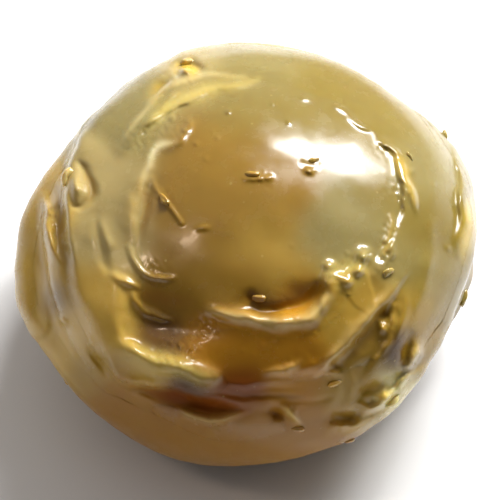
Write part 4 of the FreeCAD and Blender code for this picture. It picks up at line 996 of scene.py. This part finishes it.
def paint(me, points):
    vx, vy = view_plane(points)
    seen = smooth_step(facing(points), -0.25, 0.12)[:, None]
    # turned from the eye, the colour runs from painted shade low down to painted light high up
    height = smooth_step(points[:, 2] + 1.5 * noise(points, 61, 9.0), 3.0, 24.0)[:, None]
    rear_painted_light = (linear(BACK_LOW_PAINTED_SHADE).astype(f32) * (1 - height)
            + linear(BACK_HIGH_PAINTED_LIGHT).astype(f32) * height)
    set_tone(me, tone_at(vx, vy) * seen + rear_painted_light * (1 - seen))
    # two maps carry painted shade in pits and folds, and a painted glow of light on thin edges, to
    # the material
    for name, values in (("pit_shade", pit_shade_map), ("edge_glow_fold_shade", edge_glow_fold_shade_map)):
        data = me.attributes.new(name, "FLOAT", "POINT").data
        data.foreach_set("value", np.asarray(lookup(values, vx, vy) * seen[:, 0], f32))


# ---------- materials ----------
class Nodes:
    """Builds a material; an input takes either a number, a tuple or a socket."""

    def __init__(self, name):
        self.mat = bpy.data.materials.new(name)
        self.mat.use_nodes = True
        self.tree = self.mat.node_tree
        self.bsdf = self.tree.nodes["Principled BSDF"]
        place = self.new("ShaderNodeNewGeometry").outputs["Position"]
        self.millimetres = self.new("ShaderNodeVectorMath", {0: place, "Scale": 1000.0},
                                    operation="SCALE").outputs[0]

    def feed(self, node, inputs):
        for key, value in inputs.items():
            if isinstance(value, (tuple, float, int)):
                node.inputs[key].default_value = value
            else:
                self.tree.links.new(value, node.inputs[key])

    def new(self, kind, inputs={}, **props):
        node = self.tree.nodes.new(kind)
        for key, value in props.items():
            setattr(node, key, value)
        self.feed(node, inputs)
        return node

    def attr(self, name, out="Fac"):
        return self.new("ShaderNodeAttribute", attribute_name=name).outputs[out]

    def noise(self, scale, detail, rough=0.5, distortion=0.0, vector=None):
        return self.new("ShaderNodeTexNoise", {
            "Scale": scale, "Detail": detail, "Roughness": rough, "Distortion": distortion,
            "Vector": vector or self.millimetres}).outputs["Fac"]

    def ramp(self, value, a, b, lo=0.0, hi=1.0):
        return self.new("ShaderNodeMapRange", {
            "From Min": a, "From Max": b, "To Min": lo, "To Max": hi, "Value": value},
            interpolation_type="SMOOTHSTEP").outputs["Result"]

    def mix(self, fac, a, b, mode="MIX"):
        return self.new("ShaderNodeMix", {0: fac, 6: a, 7: b}, data_type="RGBA",
                        blend_type=mode, clamp_factor=True).outputs[2]

    def math(self, op, a, b):
        return self.new("ShaderNodeMath", {0: a, 1: b}, operation=op).outputs[0]


def rgb(r, g, b):
    return tuple(float(v) for v in linear((r, g, b))) + (1.0,)


def rosin(name, rough, gloss=0.5, tint=(1, 1, 1, 1)):
    """Amber clouded by milky streaks, with a painted glow of light on thin edges and painted shade
    in dark red-brown folds.
    """
    m = Nodes(name)
    stretched = m.new("ShaderNodeMapping", {
        "Rotation": (0.5, 0.2, 0.4), "Scale": (0.7, 1.5, 2.4), "Vector": m.millimetres})
    flow = m.noise(scale=0.16, detail=4.0, rough=0.55, distortion=1.4,
                   vector=stretched.outputs[0])
    cloud = m.noise(scale=0.22, detail=3.0, distortion=0.8)
    swirl = m.math("ADD", m.math("MULTIPLY", cloud, 0.5), m.math("MULTIPLY", flow, 0.5))
    col = m.attr("tone", "Color")
    milky = m.mix(1.0, col, (1.25, 1.32, 1.5, 1), "MULTIPLY")
    col = m.mix(m.ramp(swirl, 0.50, 0.68, hi=0.20), col, milky)
    deep = m.mix(1.0, col, (0.80, 0.72, 0.50, 1), "MULTIPLY")
    col = m.mix(m.ramp(swirl, 0.50, 0.34, hi=0.24), col, deep)
    edge_glow_fold_shade, pit_shade = m.attr("edge_glow_fold_shade"), m.attr("pit_shade")
    # painted glow of light through the thin free edges
    col = m.mix(m.ramp(edge_glow_fold_shade, 0.06, 0.40, hi=0.30), col, rgb(208, 188, 108))
    # painted shade at the foot of folds
    col = m.mix(m.ramp(edge_glow_fold_shade, -0.10, -0.55, hi=0.28), col, rgb(122, 74, 20))
    # painted shade in grooves and at the feet of free edges
    col = m.mix(m.ramp(pit_shade, 0.3, 1.8, hi=0.30), col, rgb(122, 64, 14))
    # specks and bubbles held in the resin
    cells = m.new("ShaderNodeTexVoronoi", {"Scale": 0.8, "Vector": m.millimetres})
    speck = m.ramp(cells.outputs["Distance"], 0.15, 0.06)
    patches = m.ramp(m.noise(scale=0.35, detail=2.0), 0.56, 0.64)
    speck = m.math("MULTIPLY", m.math("MULTIPLY", speck, patches), 0.35)
    col = m.mix(speck, col, rgb(206, 184, 116))
    height = m.math("ADD", m.noise(scale=0.8, detail=2.0, distortion=0.4),
                    m.math("MULTIPLY", m.noise(scale=5.0, detail=2.0), 0.08))
    bump = m.new("ShaderNodeBump", {"Strength": 0.06, "Distance": 0.0001, "Height": height})
    spread = 0.08
    m.feed(m.bsdf, {
        "Base Color": m.mix(1.0, col, tint, "MULTIPLY"),
        "Subsurface Weight": 0.5,
        "Subsurface Radius": (1.0, 0.62, 0.25),
        "Subsurface Scale": 0.0006,
        "IOR": 1.54,
        # folds and pits hold little reflection
        "Specular IOR Level": m.ramp(pit_shade, 0.04, 0.45, lo=gloss, hi=0.2 * gloss),
        "Coat Weight": m.ramp(pit_shade, 0.04, 0.45, lo=0.3 * gloss, hi=0.0),
        "Coat Roughness": 0.04,
        "Roughness": m.ramp(m.noise(scale=0.5, detail=4.0, rough=0.6), 0.35, 0.7,
                            lo=rough - spread * 0.5, hi=rough + spread),
        "Normal": bump.outputs["Normal"],
        "Coat Normal": bump.outputs["Normal"],
    })
    return m.mat


LOOKS = {
    "amber": rosin("rosin_amber", rough=0.23),
    "cream": rosin("rosin_cream", rough=0.24, gloss=0.28),
    "honey": rosin("rosin_honey", rough=0.22, gloss=0.3),
    "brown": rosin("rosin_brown", rough=0.34, gloss=0.22),
    "yellow": rosin("rosin_yellow", rough=0.16, gloss=0.4),
    "crumb": rosin("rosin_crumb", rough=0.2, tint=(1.2, 1.2, 1.15, 1)),
}
SLOTS = {s["node"]: s["material_slot"] for s in frame["record"]["subparts"]}


def dress(ob, name, slot):
    ob.data.materials.append(LOOKS[slot])
    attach(ob, "root")
    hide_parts(name)


for i, name in enumerate(["inner_gather", "cup_mass", *LAPS]):
    ob, points = piece_mesh(name + "_skin", *piece_field(i))
    paint(ob.data, points.astype(f32))
    dress(ob, name, SLOTS[name])


# ---------- crumbs ----------
def crumb_islands():
    """Points (mm) of each separate crumb of the frame."""
    node = frame["nodes"]["crumbs"]
    me = node.data
    points = np.empty(len(me.vertices) * 3, f32)
    me.vertices.foreach_get("co", points)
    matrix = np.array(node.matrix_world)
    points = (points.reshape(-1, 3) @ matrix[:3, :3].T + matrix[:3, 3]) * 1000
    edges = np.empty(len(me.edges) * 2, np.int32)
    me.edges.foreach_get("vertices", edges)
    points, back = np.unique(np.round(points, 3), axis=0, return_inverse=True)
    edges = back.ravel()[edges].reshape(-1, 2)
    label = np.arange(len(points))
    while len(edges):
        low = np.minimum(label[edges[:, 0]], label[edges[:, 1]])
        new = label.copy()
        np.minimum.at(new, edges[:, 0], low)
        np.minimum.at(new, edges[:, 1], low)
        new = new[new]
        if (new == label).all():
            break
        label = new
    return [points[label == part].astype(np.float64) for part in np.unique(label)]


def unit_ball():
    bm = bmesh.new()
    bmesh.ops.create_icosphere(bm, subdivisions=3, radius=1.0)
    verts = np.array([v.co[:] for v in bm.verts], f32)
    bm.verts.index_update()
    faces = [[v.index for v in face.verts] for face in bm.faces]
    bm.free()
    return verts, faces


def grain(ball, island, k):
    """A broken, lumpy grain of the island's size, resting on the lump."""
    mid = 0.5 * (island.min(0) + island.max(0))
    axes = np.linalg.svd(island - island.mean(0), full_matrices=False)[2]
    along = (island - mid) @ axes.T
    half = 0.5 * (along.max(0) - along.min(0))
    half = 0.78 * np.maximum(half, 0.5 * half.max())
    r = 0.92 + 0.12 * noise(ball, 300 + k, 1.8) + 0.05 * noise(ball, 400 + k, 0.8)
    r = np.clip(r, 0.65, 1.2)
    verts = (ball * r[:, None] * half.astype(f32)) @ axes.astype(f32)
    at = mid.astype(f32)[None]
    for _ in range(4):
        outward, depth = slope(at)
        at = at + outward * np.clip(-0.1 * half.min() - depth, -1.0, 1.0)[:, None]
    shift = at[0] - mid
    shift *= min(1.0, 2.5 / (np.linalg.norm(shift) + 1e-9))
    return verts + (mid + shift).astype(f32)


ball, ball_faces = unit_ball()
grains, faces = [], []
for k, island in enumerate(crumb_islands()):
    if len(island) >= 8:
        faces += [[i + len(ball) * len(grains) for i in face] for face in ball_faces]
        grains.append(grain(ball, island, k))
if grains:
    verts = np.concatenate(grains) / 1000
    me = bpy.data.meshes.new("crumbs_skin")
    me.from_pydata(verts.tolist(), [], faces)
    me.polygons.foreach_set("use_smooth", [True] * len(me.polygons))
    crumbs = add_object("crumbs_skin", me)
    points = (verts * 1000).astype(f32)
    shade = np.clip(0.95 + 0.12 * noise(points, 71, 3.0)[:, None], 0.8, 1.2)
    pale = linear((216, 192, 110)).astype(f32)
    set_tone(me, (0.88 * tone_at(*view_plane(points)) + 0.12 * pale) * shade)
    dress(crumbs, "crumbs", "crumb")

# ---------- camera ----------
cam = bpy.data.cameras.new("camera")
camera = add_object("camera", cam)
cam.lens = 100
cam.sensor_width = 36
cam.clip_start = 0.01
cam.clip_end = 10
camera.location = Vector(EYE) / 1000
camera.rotation_mode = "QUATERNION"
camera.rotation_quaternion = Vector(-TO_EYE).to_track_quat("-Z", "Y")
bpy.context.scene.camera = camera

# ---------- light ----------
# name, position (mm), width, depth, power, colour
LAMPS = [
    ("softbox_a", (79, 140, 262), 96, 84, 0.85, (1, 1, 1)),
    ("softbox_b", (150, 140, 206), 72, 124, 0.85, (1, 1, 1)),
    ("warm", (-165, -66, 255), 22, 60, 0.08, (1.0, 0.74, 0.55)),
]
LAMP_AIM = (0, 0, 15)
for name, place, width, depth, power, colour in LAMPS:
    light = bpy.data.lights.new(name, "AREA")
    light.energy = power
    light.color = colour
    light.shape = "RECTANGLE"
    light.size = width / 1000
    light.size_y = depth / 1000
    ob = add_object(name, light)
    ob.location = Vector(place) / 1000
    ob.rotation_mode = "QUATERNION"
    ob.rotation_quaternion = (Vector(place) - Vector(LAMP_AIM)).to_track_quat("Z", "Y")

# the studio: dark towards the viewer and below, bright behind and above
world = bpy.data.worlds.new("studio")
bpy.context.scene.world = world
world.use_nodes = True
tree = world.node_tree
background = tree.nodes["Background"]
background.inputs["Color"].default_value = (1, 1, 1, 1)
coords = tree.nodes.new("ShaderNodeTexCoord")
dot = tree.nodes.new("ShaderNodeVectorMath")
dot.operation = "DOT_PRODUCT"
dot.inputs[1].default_value = (0.0, 0.80, 0.60)
glow = tree.nodes.new("ShaderNodeMapRange")
glow.interpolation_type = "SMOOTHSTEP"
for key, value in {"From Min": -0.3, "From Max": 0.9, "To Min": 0.08, "To Max": 0.55}.items():
    glow.inputs[key].default_value = value
tree.links.new(coords.outputs["Generated"], dot.inputs[0])
tree.links.new(dot.outputs["Value"], glow.inputs["Value"])
tree.links.new(glow.outputs["Result"], background.inputs["Strength"])

# ---------- floor ----------
me = bpy.data.meshes.new("floor")
me.from_pydata([(-2, -2, 0), (2, -2, 0), (2, 2, 0), (-2, 2, 0)], [], [(0, 1, 2, 3)])
floor = add_object("floor", me)
mat = bpy.data.materials.new("floor")
mat.use_nodes = True
surface = mat.node_tree.nodes["Principled BSDF"].inputs
surface["Base Color"].default_value = (0.76, 0.76, 0.76, 1)
surface["Roughness"].default_value = 0.9
me.materials.append(mat)
bpy.context.scene.view_settings.view_transform = "Standard"
